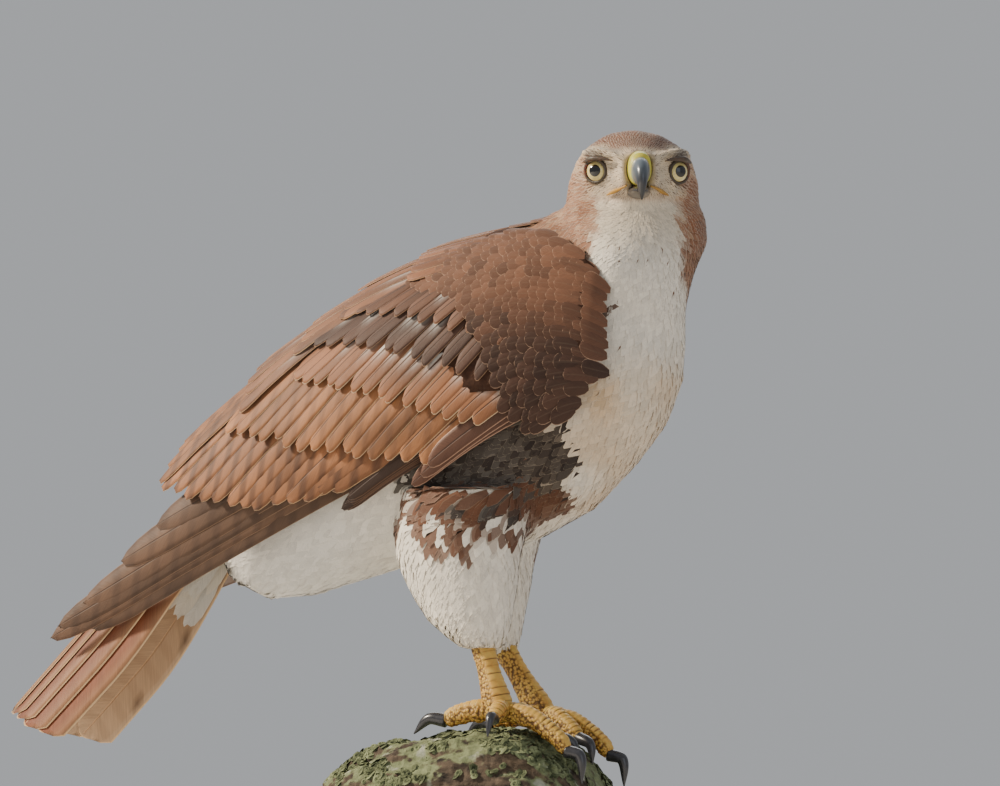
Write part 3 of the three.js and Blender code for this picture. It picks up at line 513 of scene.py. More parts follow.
skin_finish, tree, shader = start_finish(
    "down_covered_skin", Roughness=0.8, Specular_IOR_Level=0.2, Sheen_Weight=0.3
)
tint = node(tree, "ShaderNodeAttribute", attribute_name="pigment", out="Color")
spot = node(tree, "ShaderNodeTexCoord", out="Object")
fuzz = node(tree, "ShaderNodeTexNoise", {"Vector": spot, "Scale": 900.0, "Detail": 4.0})
shade = node(tree, "ShaderNodeMapRange", {0: fuzz, 3: 0.6, 4: 1.05})
colour = node(tree, "ShaderNodeVectorMath", {0: tint, 3: shade}, operation="SCALE")
tree.links.new(colour, shader.inputs["Base Color"])
bumps = node(tree, "ShaderNodeBump", {"Height": fuzz, "Strength": 0.6, "Distance": 0.001})
tree.links.new(bumps, shader.inputs["Normal"])
skin_mesh.materials.clear()
skin_mesh.materials.append(skin_finish)
skin_mesh.shade_smooth()
paint = skin_mesh.attributes.new("pigment", "FLOAT_COLOR", "POINT")
# The skin takes the coat's colours a little darker: painted shade where it shows between the feathers.
ground = plumage_colour(in_mm(points))[0] * 0.9
paint.data.foreach_set("color", np.concatenate([ground, np.ones((count, 1))], 1).ravel())
skin = bpy.data.objects.new("body_skin", skin_mesh)
bpy.context.scene.collection.objects.link(skin)
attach(skin, "root")
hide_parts(*FLESH)


def plumage_finish(name, barb_mm, gloss, shaft, barring="#3a261c"):
    """Keratin vanes: matt barbs that run slantwise from the shaft, a pale or dark rim, a dark streak
    along the middle, cross bars and a shaft, all read from the vane's own attributes."""
    made, tree, shader = start_finish(
        name, Roughness=gloss, Specular_IOR_Level=0.3, Sheen_Weight=0.12, Sheen_Roughness=0.5
    )
    place, marks, size = (tree.nodes.new("ShaderNodeSeparateXYZ") for _ in range(3))
    for name, parts in (("place", place), ("marks", marks), ("size", size)):
        tree.links.new(node(tree, "ShaderNodeAttribute", attribute_name=name, out="Vector"), parts.inputs[0])
    beside = node(tree, "ShaderNodeMath", {0: place.outputs["X"]}, operation="ABSOLUTE")
    across = node(tree, "ShaderNodeMath", {0: beside, 1: size.outputs["Y"]}, operation="MULTIPLY")
    along = node(tree, "ShaderNodeMath", {0: place.outputs["Y"], 1: size.outputs["X"]}, operation="MULTIPLY")
    slant = node(tree, "ShaderNodeMath", {0: across, 1: -1.1, 2: along}, operation="MULTIPLY_ADD")
    lane = [
        node(tree, "ShaderNodeMath", {0: source, 1: scale}, operation="MULTIPLY")
        for source, scale in ((slant, 1000 / barb_mm), (across, 60.0), (place.outputs["Z"], 57.0))
    ]
    lane = node(tree, "ShaderNodeCombineXYZ", dict(enumerate(lane)))
    barbs = node(tree, "ShaderNodeTexNoise", {"Vector": lane, "Scale": 1.0, "Detail": 2.5, "Roughness": 0.6})
    spare = node(tree, "ShaderNodeMath", {0: size.outputs["Y"], 1: across}, operation="SUBTRACT")
    ahead = node(tree, "ShaderNodeMath", {0: size.outputs["X"], 1: along}, operation="SUBTRACT")
    edge = node(tree, "ShaderNodeMath", {0: spare, 1: ahead}, operation="MINIMUM")
    edge = node(tree, "ShaderNodeMath", {0: barbs, 1: 0.0007, 2: edge}, operation="MULTIPLY_ADD")
    inner = node(tree, "ShaderNodeMath", {0: marks.outputs["X"], 1: 0.45}, operation="MULTIPLY")
    rim = node(
        tree, "ShaderNodeMapRange", {0: edge, 1: inner, 2: marks.outputs["X"], 3: 1.0, 4: 0.0}, **EASED
    )
    wave = node(tree, "ShaderNodeMath", {0: across, 1: -0.25, 2: along}, operation="MULTIPLY_ADD")
    shift = node(tree, "ShaderNodeMath", {0: place.outputs["Z"], 1: 6.0}, operation="MULTIPLY")
    wave = node(tree, "ShaderNodeMath", {0: wave, 1: 400.0, 2: shift}, operation="MULTIPLY_ADD")
    wave = node(tree, "ShaderNodeMath", {0: wave}, operation="SINE")
    bars = node(tree, "ShaderNodeMapRange", {0: wave, 1: -0.3, 2: 1.0}, **EASED)
    bars = node(tree, "ShaderNodeMath", {0: bars, 1: marks.outputs["Y"]}, operation="MULTIPLY")
    taper = node(tree, "ShaderNodeMapRange", {0: place.outputs["Y"], 1: 0.35, 2: 0.97, 3: 1.0, 4: 0.15})
    drop = node(tree, "ShaderNodeMath", {0: taper, 1: marks.outputs["Z"]}, operation="MULTIPLY")
    drop = node(tree, "ShaderNodeMath", {0: drop, 1: beside}, operation="SUBTRACT")
    drop = node(tree, "ShaderNodeMath", {0: barbs, 1: 0.2, 2: drop}, operation="MULTIPLY_ADD")
    streak = node(tree, "ShaderNodeMapRange", {0: drop, 1: 0.2, 2: 0.3}, **EASED)
    colour = node(tree, "ShaderNodeAttribute", attribute_name="pigment", out="Color")
    colour = node(tree, "ShaderNodeMix", {0: bars, 6: colour, 7: linear(barring)}, **COLOURS)
    for name, share in (("rim", rim), ("streak", streak)):
        mark = node(tree, "ShaderNodeAttribute", attribute_name=name, out="Color")
        colour = node(tree, "ShaderNodeMix", {0: share, 6: colour, 7: mark}, **COLOURS)
    quill = node(tree, "ShaderNodeMapRange", {0: across, 1: 0.0002, 2: 0.00055, 3: size.outputs["Z"], 4: 0.0})
    colour = node(tree, "ShaderNodeMix", {0: quill, 6: colour, 7: linear(shaft)}, **COLOURS)
    lightness = node(tree, "ShaderNodeMapRange", {0: barbs, 1: 0.25, 2: 0.75, 3: 0.8, 4: 1.16})
    colour = node(tree, "ShaderNodeVectorMath", {0: colour, 3: lightness}, operation="SCALE")
    tree.links.new(colour, shader.inputs["Base Color"])
    raised = node(tree, "ShaderNodeMath", {0: quill, 1: 1.5, 2: barbs}, operation="MULTIPLY_ADD")
    bumps = node(tree, "ShaderNodeBump", {"Height": raised, "Strength": 0.55, "Distance": 0.0004})
    tree.links.new(bumps, shader.inputs["Normal"])
    return made


def edge_loop(rows, cols):
    """The points around the edge of a grid, in order."""
    back = [r * cols + cols - 1 for r in range(rows - 2, -1, -1)] + list(range(cols - 2, 0, -1))
    return [r * cols for r in range(rows)] + [(rows - 1) * cols + c for c in range(1, cols)] + back


def shares(u, t):
    """Where each point of a vane lies: across it from -1 to 1, and along it from 0 to 1."""
    return np.stack(np.broadcast_arrays(u[None, :], t[:, None]), -1)


def add_vanes(name, groups, finish, replaces=(), thick=0.0):
    """Joins feathers into one mesh. Each group has a grid (feathers, rows, columns, xyz in metres),
    share (u, v of each grid point), colours, marks, sizes and a place and reach on the bake map."""
    layers = {k: [] for k in ("pigment", "rim", "streak", "marks", "place", "size")}
    verts, faces, maps, start = [], [], [], 0
    for g in groups:
        grid = g["grid"]
        n, rows, cols = grid.shape[:3]
        flat = grid.reshape(-1, 3)
        share = np.broadcast_to(g["share"], (n, rows, cols, 2))
        luck = np.broadcast_to(g["luck"][:, None, None, None], (n, rows, cols, 1))
        values = {"place": np.concatenate([share, luck], -1)}
        for key in ("pigment", "rim", "streak", "marks", "size"):
            v = np.asarray(g[key], float)
            values[key] = np.broadcast_to(v if v.ndim == 4 else v[:, None, None, :], (n, rows, cols, 3))
        bake = g["bake"][:, None, None, :] + (share * (0.5, 1.0) + (0.5, 0.0)) * g["reach"][:, None, None, :]
        bake = bake.reshape(-1, 2)
        first, row, col = np.arange(n)[:, None, None], np.arange(rows - 1)[:, None], np.arange(cols - 1)
        base = first * rows * cols + row * cols + col
        quads = np.stack([base, base + 1, base + cols + 1, base + cols], -1).reshape(-1, 4)
        if thick:
            down = np.cross(np.gradient(grid, axis=2), np.gradient(grid, axis=1))
            down /= np.maximum(np.linalg.norm(down, axis=-1, keepdims=True), 1e-9)
            below = (grid + down * thick * (1 - 0.7 * np.abs(share[..., :1]))).reshape(-1, 3)
            layer = n * rows * cols
            loop = np.array(edge_loop(rows, cols))
            here = np.arange(n)[:, None] * rows * cols + loop[None, :]
            then = np.roll(here, -1, axis=1)
            wall = np.stack([here, then, then + layer, here + layer], -1).reshape(-1, 4)
            flat = np.concatenate([flat, below])
            quads = np.concatenate([quads, quads[:, ::-1] + layer, wall])
            lower = {**values, "pigment": g.get("below", values["pigment"])}
            for key, v in values.items():
                values[key] = np.concatenate([v.reshape(-1, 3), lower[key].reshape(-1, 3)])
            bake = np.concatenate([bake, bake])
        verts.append(flat)
        faces.append(quads + start)
        start += len(flat)
        for key, v in values.items():
            layers[key].append(v.reshape(-1, 3))
        maps.append(bake)
    made = add_piece(name, np.concatenate(verts), np.concatenate(faces), finish, replaces)
    mesh = made.data
    for key, v in layers.items():
        v = np.concatenate(v)
        if key in ("marks", "place", "size"):
            mesh.attributes.new(key, "FLOAT_VECTOR", "POINT").data.foreach_set("vector", v.ravel())
        else:
            v = np.concatenate([v, np.ones((len(v), 1))], 1)
            mesh.attributes.new(key, "FLOAT_COLOR", "POINT").data.foreach_set("color", v.ravel())
    corner = np.empty(len(mesh.loops), np.int32)
    mesh.loops.foreach_get("vertex_index", corner)
    mesh.uv_layers.new(name="OFBake").data.foreach_set("uv", np.concatenate(maps)[corner].ravel())
    return made


# Body feathers: thousands of small overlapping vanes that lie along the body from bill to tail, short
# and tight on the face, long and loose on the flanks, thighs and under the tail.
rng = np.random.default_rng(1709)
skin_mesh.calc_loop_triangles()
tris = np.empty(len(skin_mesh.loop_triangles) * 3, np.int32)
skin_mesh.loop_triangles.foreach_get("vertices", tris)
corners = in_mm(points[tris.reshape(-1, 3)])
area = np.linalg.norm(np.cross(corners[:, 1] - corners[:, 0], corners[:, 2] - corners[:, 0]), axis=1) / 2


def coat_size(q):
    """Spacing and length of the feathers at points, and how loose and fluffy they are."""
    f = in_head(q)
    reach = np.linalg.norm(f - (18, 0, -2), axis=-1)
    on_head = ease(60, 46, np.linalg.norm(f, axis=-1)) * ease(-44, -26, f[..., 2])
    head_length = smooth([(6, 3.2), (20, 4.6), (40, 8.5), (60, 11.5)], reach)[..., 0]
    thigh = ease(112, 96, q[..., 2]) * ease(-70, -56, q[..., 0])
    vent = ease(-40, -80, q[..., 0]) * ease(150, 120, q[..., 2])
    neck = ease(205, 240, q[..., 2]) * (1 - on_head)
    length = 21 - 6.5 * neck + 8 * vent
    length = length * (1 - on_head) + head_length * on_head
    spacing = np.where(
        on_head > 0.5, 0.17 * head_length + 0.32, (0.128 - 0.015 * np.clip(thigh + vent, 0, 1)) * length
    )
    return spacing, length, np.clip(thigh + vent, 0, 1)


TRIES = 380000
odds = area / coat_size(corners.mean(1))[0] ** 2
pick = rng.choice(len(area), TRIES, p=odds / odds.sum())
spots = (corners[pick] * rng.dirichlet((1, 1, 1), TRIES)[..., None]).sum(1)
spacing, length, fluff = coat_size(spots)
tree_of_spots = KDTree(len(spots))
for i, p in enumerate(spots):
    tree_of_spots.insert(p, i)
tree_of_spots.balance()
kept, gone = [], np.zeros(len(spots), bool)
f = in_head(spots)
# No feather grows around the eyes, under the cere and bill, or on the bare leg.
BARE_EYE, CERE_BACK, CERE_HALF, LEG_TOP = 8.6, 24, 8.5, 43
gone |= np.minimum(*(np.linalg.norm(f - (12.5, s * 24, 0), axis=1) for s in (1, -1))) < BARE_EYE
gone |= (f[:, 0] > CERE_BACK) & (np.abs(f[:, 1]) < CERE_HALF) & (f[:, 2] > -16) & (f[:, 2] < 11)
gone |= spots[:, 2] < LEG_TOP
for i in range(len(spots)):
    if gone[i]:
        continue
    kept.append(i)
    for _, j, _ in tree_of_spots.find_range(spots[i], spacing[i]):
        gone[j] = True
roots, length, fluff = spots[kept], length[kept], fluff[kept]


def lie(q, n):
    """The direction in which the coat lies at points with normals, along the surface."""
    f = in_head(q)
    headness = ease(62, 44, np.linalg.norm(f, axis=-1))[..., None]
    thigh = (ease(118, 100, q[..., 2]) * ease(-66, -52, q[..., 0]))[..., None]
    upper = ease(150, 230, q[..., 2])[..., None]
    flow = np.array([-0.95, 0, -0.62]) * (1 - upper) + np.array([-0.62, 0, -0.95]) * upper
    flow = flow * (1 - thigh) + np.array([-0.22, 0, -1.0]) * thigh
    away = f - np.array([34, 0, -3])
    away /= np.linalg.norm(away, axis=-1, keepdims=True)
    droop = ease(4, -18, f[..., 2])[..., None]
    away = away * (1, 1, 0.8) + np.array([-0.5, 0, 0]) * (1 - droop) + np.array([-0.1, 0, -0.55]) * droop
    flow = flow * (1 - headness) + (away @ HEAD_TURN.T) * headness
    flow = flow - (flow * n).sum(-1, keepdims=True) * n
    return flow / np.maximum(np.linalg.norm(flow, axis=-1, keepdims=True), 1e-6)


def on_skin(q):
    """The nearest places on the skin and the normals there, in the bird's millimetres."""
    hits = [skin_tree.find_nearest(p) for p in to_row(q)]
    return in_mm(np.array([h[0] for h in hits])), np.array([h[1] for h in hits])


ROOT_LIFT, TIP_LIFT = 0.3, 1.35


def skin_feathers(q, length, fluff, width_share, seed, cols):
    """Grids of vanes that follow the skin from their roots along the lie of the coat."""
    draw = np.random.default_rng(seed)
    n, rows = len(q), 4
    ts = np.linspace(0, 1, rows) ** 0.85
    where, normal = on_skin(q)
    sway = draw.normal(0, 0.08, n) + fluff * draw.normal(0, 0.05, n)
    stand = draw.uniform(0.93, 1.09, n) * (1 - 0.45 * fluff)
    shape = np.interp(ts, [0, 0.3, 0.62, 0.86, 1], [0.45, 0.9, 1.0, 0.84, 0.46])
    grid = np.empty((n, rows, cols, 3))
    u = np.linspace(-1, 1, cols)
    ragged = draw.uniform(0, 1, (n, cols)) * (0.04 + 0.05 * fluff[:, None])
    for r, t in enumerate(ts):
        if r:
            where, normal = on_skin(where + forward * (length * (ts[r] - ts[r - 1]))[:, None])
        forward = lie(where, normal)
        side = np.cross(normal, forward)
        forward = forward * np.cos(sway)[:, None] + side * np.sin(sway)[:, None]
        side = np.cross(normal, forward)
        half = length * width_share / 2 * shape[r]
        up = (ROOT_LIFT + (TIP_LIFT - ROOT_LIFT) * t**1.2) * stand * np.clip(length / 20, 0.28, 1.3)
        for c in range(cols):
            back = ragged[:, c] * length * (t > 0.99) + np.abs(u[c]) ** 2 * length * 0.11 * (t > 0.99)
            over = where + normal * (up - 0.05 * half * u[c] ** 2)[:, None]
            grid[:, r, c] = over + side * (u[c] * half)[:, None] - forward * back[:, None]
    share = shares(u, ts)
    return grid, share, draw.uniform(0, 1, n)


contour = plumage_finish("contour_feather_keratin", 0.42, 0.62, "#a08a70")
colour, brown, headness, f = plumage_colour(roots)
side = np.abs(roots[:, 1])
luck = rng.uniform(0, 1, len(roots))
pigment = colour * rng.uniform(0.88, 1.1, (len(roots), 1))
rim = np.where((brown > 0.5)[:, None], mixed(pigment, CREAM, 0.35), mixed(pigment, WHITE, 0.35))
streak = np.broadcast_to(DARK, pigment.shape).copy()
marks = np.zeros((len(roots), 3))
marks[:, 0] = 0.0009
# The dark band across the belly and flanks, the rufous streaks below it and on the thigh's top, the
# few flecks of the breast, and the fine streaks of head and neck.
x, y, z = roots.T
grain = ripple(np.stack([(0.84 * x + 0.55 * z) * 0.3, 0.55 * x - 0.84 * z, 0.6 * y], -1), 9, 71)
blots = ripple(roots, 17, 72)
band = ease(1.15, 0.6, np.hypot((x - 8) / 54, (z - 160) / 41)) * ease(10, 26, side)
low = ease(1.2, 0.55, np.hypot((x - 42) / 32, (z - 119) / 25)) * ease(2, 14, side)
thigh_top = ease(1.2, 0.5, np.hypot((x + 14) / 44, (z - 122) / 18)) * ease(24, 38, side)
flecks = ease(226, 212, z) * ease(184, 196, z) * ease(20, 32, side) * (x > 50)
collar = ease(250, 236, z) * ease(200, 212, z) * ease(28, 40, side) * (x > 34)
body_part = headness < 0.5
for share, paint_colour in (
    (ease(0.35, 0.6, 1.15 * band + 0.36 * grain * ease(0.0, 0.2, band)), 0.6 * DARK),
    (ease(0.45, 0.8, 0.85 * low + 0.6 * grain * ease(0.0, 0.2, low)), 0.6 * mixed(BROWN, RUFOUS, 0.45)),
    (ease(0.45, 0.75, 0.8 * thigh_top + 0.55 * blots * ease(0.0, 0.2, thigh_top)), mixed(DARK, RUFOUS, 0.5)),
    (ease(0.45, 0.75, 0.6 * collar + 0.6 * grain * ease(0.0, 0.2, collar)), mixed(DARK, BROWN, 0.5)),
):
    share = share * body_part * rng.uniform(0.9, 1.0, len(roots))
    pigment = mixed(pigment, paint_colour * rng.uniform(0.85, 1.15, (len(roots), 1)), share)
    rim = mixed(rim, mixed(pigment, CREAM, 0.12), share)
dark = (luck < 0.3 * band * (1 - ease(0.4, 0.8, band))) & body_part
marks[dark, 2] = rng.uniform(0.8, 1.4, dark.sum())
fleck = ~dark & (luck < np.where(flecks > 0.5, 0.16, 0.006)) & (headness < 0.5) & (brown < 0.5) & (z > 120)
fleck |= (luck < 0.09) & (z > 246) & (z < 276) & (brown < 0.5) & (headness < 0.9)
marks[fleck, 2] = rng.uniform(0.4, 0.8, fleck.sum())
streak[fleck] = BROWN
fine = (headness > 0.4) & (luck < 0.6)
marks[fine, 2] = rng.uniform(0.3, 0.8, fine.sum())
streak[fine] = mixed(mixed(DARK, BROWN, 0.5), pigment[fine], 0.15 + 0.65 * ease(-10, -16, f[fine, 2]))
neck_streak = (headness <= 0.4) & (z > 222) & (luck < 0.45) & (brown > 0.3)
marks[neck_streak, 2] = rng.uniform(0.3, 0.8, neck_streak.sum())
streak[neck_streak] = mixed(DARK, BROWN, 0.4)
width_share = np.where(headness > 0.5, 0.36, 0.33) * (1 - 0.28 * fluff)
around = np.degrees(np.arctan2(roots[:, 1], roots[:, 2] - 190 - 0.6 * roots[:, 0])) / 360 + 0.5
bake = np.stack([np.clip(around, 0, 1) * 0.98, np.clip((roots[:, 0] + 200) / 330, 0, 1) * 0.98], -1)
around = np.degrees(np.arctan2(f[:, 1], f[:, 2])) / 360 + 0.5
head_bake = np.stack([around * 0.98, np.clip((f[:, 0] + 45) / 80, 0, 1) * 0.98], -1)
for name, chosen, slot in (
    ("coat_head", headness > 0.5, "face_plumage"),
    ("coat_neck_breast", (headness <= 0.5) & (z > 175), "cream_plumage"),
    ("coat_belly_back", (headness <= 0.5) & (z <= 175) & (z > 112), "cream_plumage"),
    ("coat_thighs_vent", (headness <= 0.5) & (z <= 112), "cream_plumage"),
):
    on_face = name == "coat_head"
    long, wide = length[chosen], width_share[chosen]
    seed, cols = 40 + len(name), 3 if on_face else 4
    grid, share, chance = skin_feathers(roots[chosen], long, fluff[chosen], wide, seed, cols)
    feathers = dict(grid=to_row(grid), share=share, luck=chance, pigment=pigment[chosen], rim=rim[chosen])
    feathers.update(streak=streak[chosen], marks=marks[chosen], bake=(head_bake if on_face else bake)[chosen])
    feathers["size"] = np.stack([long * 0.001, long * wide * 0.0005, 0 * long], -1)
    feathers["reach"] = np.full((len(long), 2), 0.003)
    add_vanes(name, [feathers], contour)

# The folded wings: stiff flight feathers in tiers under rows of coverts, all laid on one saddle over
# the back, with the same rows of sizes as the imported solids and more, finer feathers.
SADDLE = [
    (-360, 63, 22, 34), (-310, 97, 30, 42), (-240, 150, 44, 60), (-180, 197, 58, 76), (-120, 238, 68, 91),
    (-60, 269, 71, 98), (0, 286, 67, 96), (50, 290, 56, 84), (92, 275, 42, 62),
]
LEFT_RISE = [(-380, 24), (-240, 14), (-60, 0), (100, 0)]


def on_saddle(side, x, arc, lift):
    """Points at x, an arc's length down the side from the ridge, and a height over the saddle."""
    ridge, half, drop = (smooth(SADDLE, x)[..., c] for c in range(3))
    a = arc / ((half + drop) / 2)
    rise = smooth(LEFT_RISE, x)[..., 0] if side > 0 else 0
    oy, oz = np.sin(a) * drop, np.cos(a) * half
    norm = np.hypot(oy, oz)
    y = side * (half * np.sin(a) + lift * oy / norm)
    z = ridge - drop * (1 - np.cos(a)) + lift * oz / norm + rise
    return np.stack([x + 0 * a, y, z], -1)


def arc_at_height(x, z):
    """How far down the saddle's side the height z lies."""
    ridge, half, drop = (smooth(SADDLE, x)[..., c] for c in range(3))
    return np.arccos(np.clip(1 - (ridge - z) / drop, -1, 1)) * ((half + drop) / 2)


VANE = [(0, 0.35), (0.2, 0.8), (0.5, 1.0), (0.8, 0.98), (1, 0.86)]


def vane_width(t, round_from=0.86, power=2.4):
    """Share of the full width along a vane, with a rounded tip."""
    rounding = np.clip((t - round_from) / (1 - round_from), 0, 1) ** power
    return smooth(VANE, t)[..., 0] * np.sqrt(np.clip(1 - rounding, 0.0, 1))


# Each tier: feathers, first and last feather's root and tip as (x, arc), widths, heights over the
# saddle along a feather, what each lies under the one before, tilt, bulge of the tips, colours
# (ground, rim), rim in mm, bar strength and how many carry a white spot at the middle.
TIERS = [
    dict(
        name="primaries", count=6, ends=((-10, 120), (-206, 82), (4, 144), (-270, 98)),
        reach=(0, 0.42, 0.82, 1.16, 1.28, 0.8), turn=(78, 112), width=(22, 17),
        lift=((0, -11), (0.22, -11.2), (0.5, -9.6), (0.72, -7), (1, -2.6)), step=0.95, tilt=0.02,
        ground="#58402f", rim="#94745a", rim_mm=0.9, bars=0.4, straight=True,
    ),
    dict(
        name="secondaries", count=13, ends=((-66, 62), (-205, 62), (-4, 146), (-86, 154)), width=(23, 20),
        lift=((0, -8.4), (1, -4.8)), step=0, tilt=0.12, bulge=17, ground="#8a5b3a", rim="#d6b085",
        rim_mm=0.9, bars=0.6,
    ),
    dict(
        name="tertials", count=5, ends=((-92, 30), (-196, 24), (-76, 62), (-208, 56)), width=(21, 20),
        lift=((0, -7), (1, -3.8)), step=0, tilt=0.11, ground="#8c5d3b", rim="#d8b284", rim_mm=1.0, bars=0.5,
    ),
    dict(
        name="primary_coverts", count=5, ends=((14, 142), (-78, 166), (26, 148), (-84, 173)), width=(12, 11),
        lift=((0, -7.6), (1, -6.6)), step=0.5, tilt=0.03, ground="#3d2a20", rim="#7c5840", rim_mm=0.9,
        bars=0.1,
    ),
    dict(
        name="greater_coverts", count=15, ends=((-92, 62), (-160, 74), (8, 138), (-34, 161)), width=(21, 18),
        lift=((0, -4.8), (1, -2.2)), step=0, tilt=0.13, bulge=11, ground="#98653f", rim="#e6c39a",
        rim_mm=0.9, bars=0.3,
    ),
    dict(
        name="alula", count=3, ends=((44, 128), (-28, 166), (50, 134), (-38, 173)), width=(13, 12),
        lift=((0, -3.2), (1, -2.4)), step=1, tilt=0.03, ground="#5c3d2e", rim="#bd947a", rim_mm=1.1,
        bars=0.0,
    ),
    dict(
        name="median_coverts", count=15, ends=((-74, 70), (-114, 80), (34, 128), (2, 148)), width=(17, 14),
        lift=((0, -3.4), (1, -0.9)), step=0, tilt=0.13, bulge=9, ground="#8b5b3b", rim="#ebcda4", rim_mm=1.0,
        bars=0.0, spotted=0.7,
    ),
    # The upper median coverts are darker than the rows around them: partly their own darker brown, partly a
    # painted shadow across the middle of the wing.
    dict(
        name="upper_median_coverts", count=15, ends=((-66, 62), (-102, 68), (52, 114), (30, 134)),
        width=(16, 13), lift=((0, -2.6), (1, 0.0)), step=0, tilt=0.13, bulge=9, ground="#4a3124",
        rim="#b08a68", rim_mm=0.9, bars=0.0, spotted=0.35,
    ),
    dict(
        name="marginal_median_coverts", count=15, ends=((-56, 54), (-88, 58), (60, 100), (42, 120)),
        width=(15, 12), lift=((0, -1.8), (1, 0.7)), step=0, tilt=0.13, bulge=7, ground="#61402d",
        rim="#b88f6c", rim_mm=0.9, bars=0.0, spotted=0.12,
    ),
    dict(
        name="long_scapulars", count=6, ends=((-94, 13), (-150, 14), (-78, 58), (-150, 70)), width=(19, 21),
        lift=((0, -3.6), (1, -0.4)), step=0, tilt=0.12, ground="#7a5238", rim="#d4ad84", rim_mm=1.0,
        bars=0.12, spotted=0.2,
    ),
    dict(
        name="middle_scapulars", count=6, ends=((-62, 12), (-118, 12), (-50, 56), (-118, 62)),
        width=(18, 19), lift=((0, -3.3), (1, 0.0)), step=0, tilt=0.12, ground="#80563a", rim="#dfba8e",
        rim_mm=1.0, bars=0.08, spotted=0.4,
    ),
    dict(
        name="scapulars", count=6, ends=((-34, 12), (-90, 12), (-24, 55), (-88, 60)), width=(17, 18),
        lift=((0, -3.0), (1, 0.4)), step=0, tilt=0.12, ground="#7d5338", rim="#dbb388", rim_mm=0.9, bars=0.0,
        spotted=0.3,
    ),
    dict(
        name="short_scapulars", count=7, ends=((4, 18), (-48, 12), (4, 58), (-48, 58)), width=(15, 16),
        lift=((0, -2.8), (1, 0.9)), step=0, tilt=0.12, ground="#774d33", rim="#c89d76", rim_mm=0.9, bars=0.0,
        spotted=0.1,
    ),
]
ROWS, COLS = 13, 7
flight = plumage_finish("flight_feather_keratin", 0.55, 0.55, "#3d2a1e")


def bake_cells(start, n, across=24):
    """A cell of the bake map for each large vane."""
    i = start + np.arange(n)
    return np.stack(
        [(i % across + 0.04) / across, (i // across + 0.04) / across], -1
    ), np.full((n, 2), 0.92 / across)


def tier(side, spec, draw, cell):
    """The grids of one tier of a wing, and its colours."""
    n = spec["count"]
    f = np.linspace(0, 1, n)
    (rx0, ra0), (tx0, ta0), (rx1, ra1), (tx1, ta1) = spec["ends"]
    far = np.array(spec.get("reach", f), float)
    root = np.stack([rx0 + (rx1 - rx0) * f, ra0 + (ra1 - ra0) * f], -1)
    bulge = spec.get("bulge", 0) * 4 * f * (1 - f)
    tip = np.stack([tx0 + (tx1 - tx0) * far, ta0 + (ta1 - ta0) * f + bulge], -1)
    if "turn" in spec:
        _, half, drop = (smooth(SADDLE, tip[:, 0])[..., c] for c in range(3))
        tip[:, 1] = np.radians(spec["turn"][0] + (spec["turn"][1] - spec["turn"][0]) * f) * (half + drop) / 2
    tip += draw.normal(0, 1, tip.shape) * (1.3, 0.7)
    longest = 290.0 if "reach" in spec else math.hypot(tx0 - rx0, ta0 - ra0)
    share_of = np.hypot(*(tip - root).T) / longest
    t = 1 - (1 - np.arange(ROWS) / (ROWS - 1)) ** 1.7
    u = np.linspace(-1, 1, COLS)
    x = root[:, :1] + (tip - root)[:, :1] * t
    if spec.get("straight"):
        z = [on_saddle(-1, p[:, 0], p[:, 1], 0 * f)[:, 2][:, None] for p in (root, tip)]
        arc = arc_at_height(x, z[0] + (z[1] - z[0]) * t)
    else:
        arc = root[:, 1:] + (tip - root)[:, 1:] * t
        arc = arc + 1.6 * np.sin(math.pi * t) * (0.5 - f[:, None])
    width = spec["width"][0] + (spec["width"][1] - spec["width"][0]) * f
    half = (width[:, None] / 2) * vane_width(t)[None, :]
    lift = smooth(spec["lift"], np.clip(t[None, :] * share_of[:, None], 0, 1))[..., 0]
    lift = lift - (spec["step"] * np.arange(n))[:, None]
    crown = 0.055 * width[:, None, None] * (0.35 - u**2)
    lift = lift[..., None] + spec["tilt"] * u * half[..., None] + crown + draw.normal(0, 0.12, (n, 1, 1))
    grid = on_saddle(side, x[..., None] + 0 * u, arc[..., None] + u * half[..., None], lift)
    if side > 0:
        grid = grid[:, :, ::-1]
    ground, rim = rgb(spec["ground"]), rgb(spec["rim"])
    tone = draw.uniform(0.74, 1.2, (n, 1, 1, 1)) * (1 + 0.22 * ripple(grid / 10, 2.6, 33))[..., None]
    worn = 1 + 0.22 * (t[None, :, None, None] - 0.5)
    pigment = ground * tone * worn
    spotted = (draw.uniform(0, 1, n) < spec.get("spotted", 0))[:, None, None, None]
    blot = np.exp(-(((t[:, None] - 0.42) / 0.16) ** 2) - ((u[None, :] + 0.35) / 0.55) ** 2)[None, ..., None]
    pigment = np.where(spotted, pigment * (1 - blot) + GREY_WHITE * blot, pigment)
    length = np.linalg.norm(np.diff(grid[:, :, COLS // 2], axis=1), axis=-1).sum(1)
    streak_width = 0.0 if spec["bars"] > 0.15 else 0.3
    bake, reach = bake_cells(cell, n)
    return dict(
        grid=to_row(grid),
        share=shares(u * (1 if side < 0 else -1), t),
        luck=draw.uniform(0, 1, n),
        pigment=pigment,
        rim=np.broadcast_to(rim, (n, 3)),
        streak=np.broadcast_to(mixed(ground, DARK, 0.55), (n, 3)),
        marks=np.broadcast_to((spec["rim_mm"] * 0.001, spec["bars"], streak_width), (n, 3)),
        size=np.stack([length * 0.001, width * 0.0005, np.full(n, 0.8)], -1),
        bake=bake,
        reach=reach,
    )


# The arm: small lesser coverts in close rows over the wrist and forearm, up to the scapulars,
# with the wing's own flesh under them, painted dark brown as the shade between them.
ARM = [
    (-60, 34, 146, -11, -5.4), (-44, 28, 152, -11.5, -3.4), (-10, 30, 152, -12, -0.8),
    (30, 46, 139, -11, 0.8), (56, 62, 115, -9, 1), (72, 68, 94, -6, -1.5),
]
SHOULDER = [(-106, 9, 56, -9, -4.4), (-70, 8, 58, -9, -2), (-20, 18, 58, -9, -0.8), (16, 38, 60, -9, 0.2)]
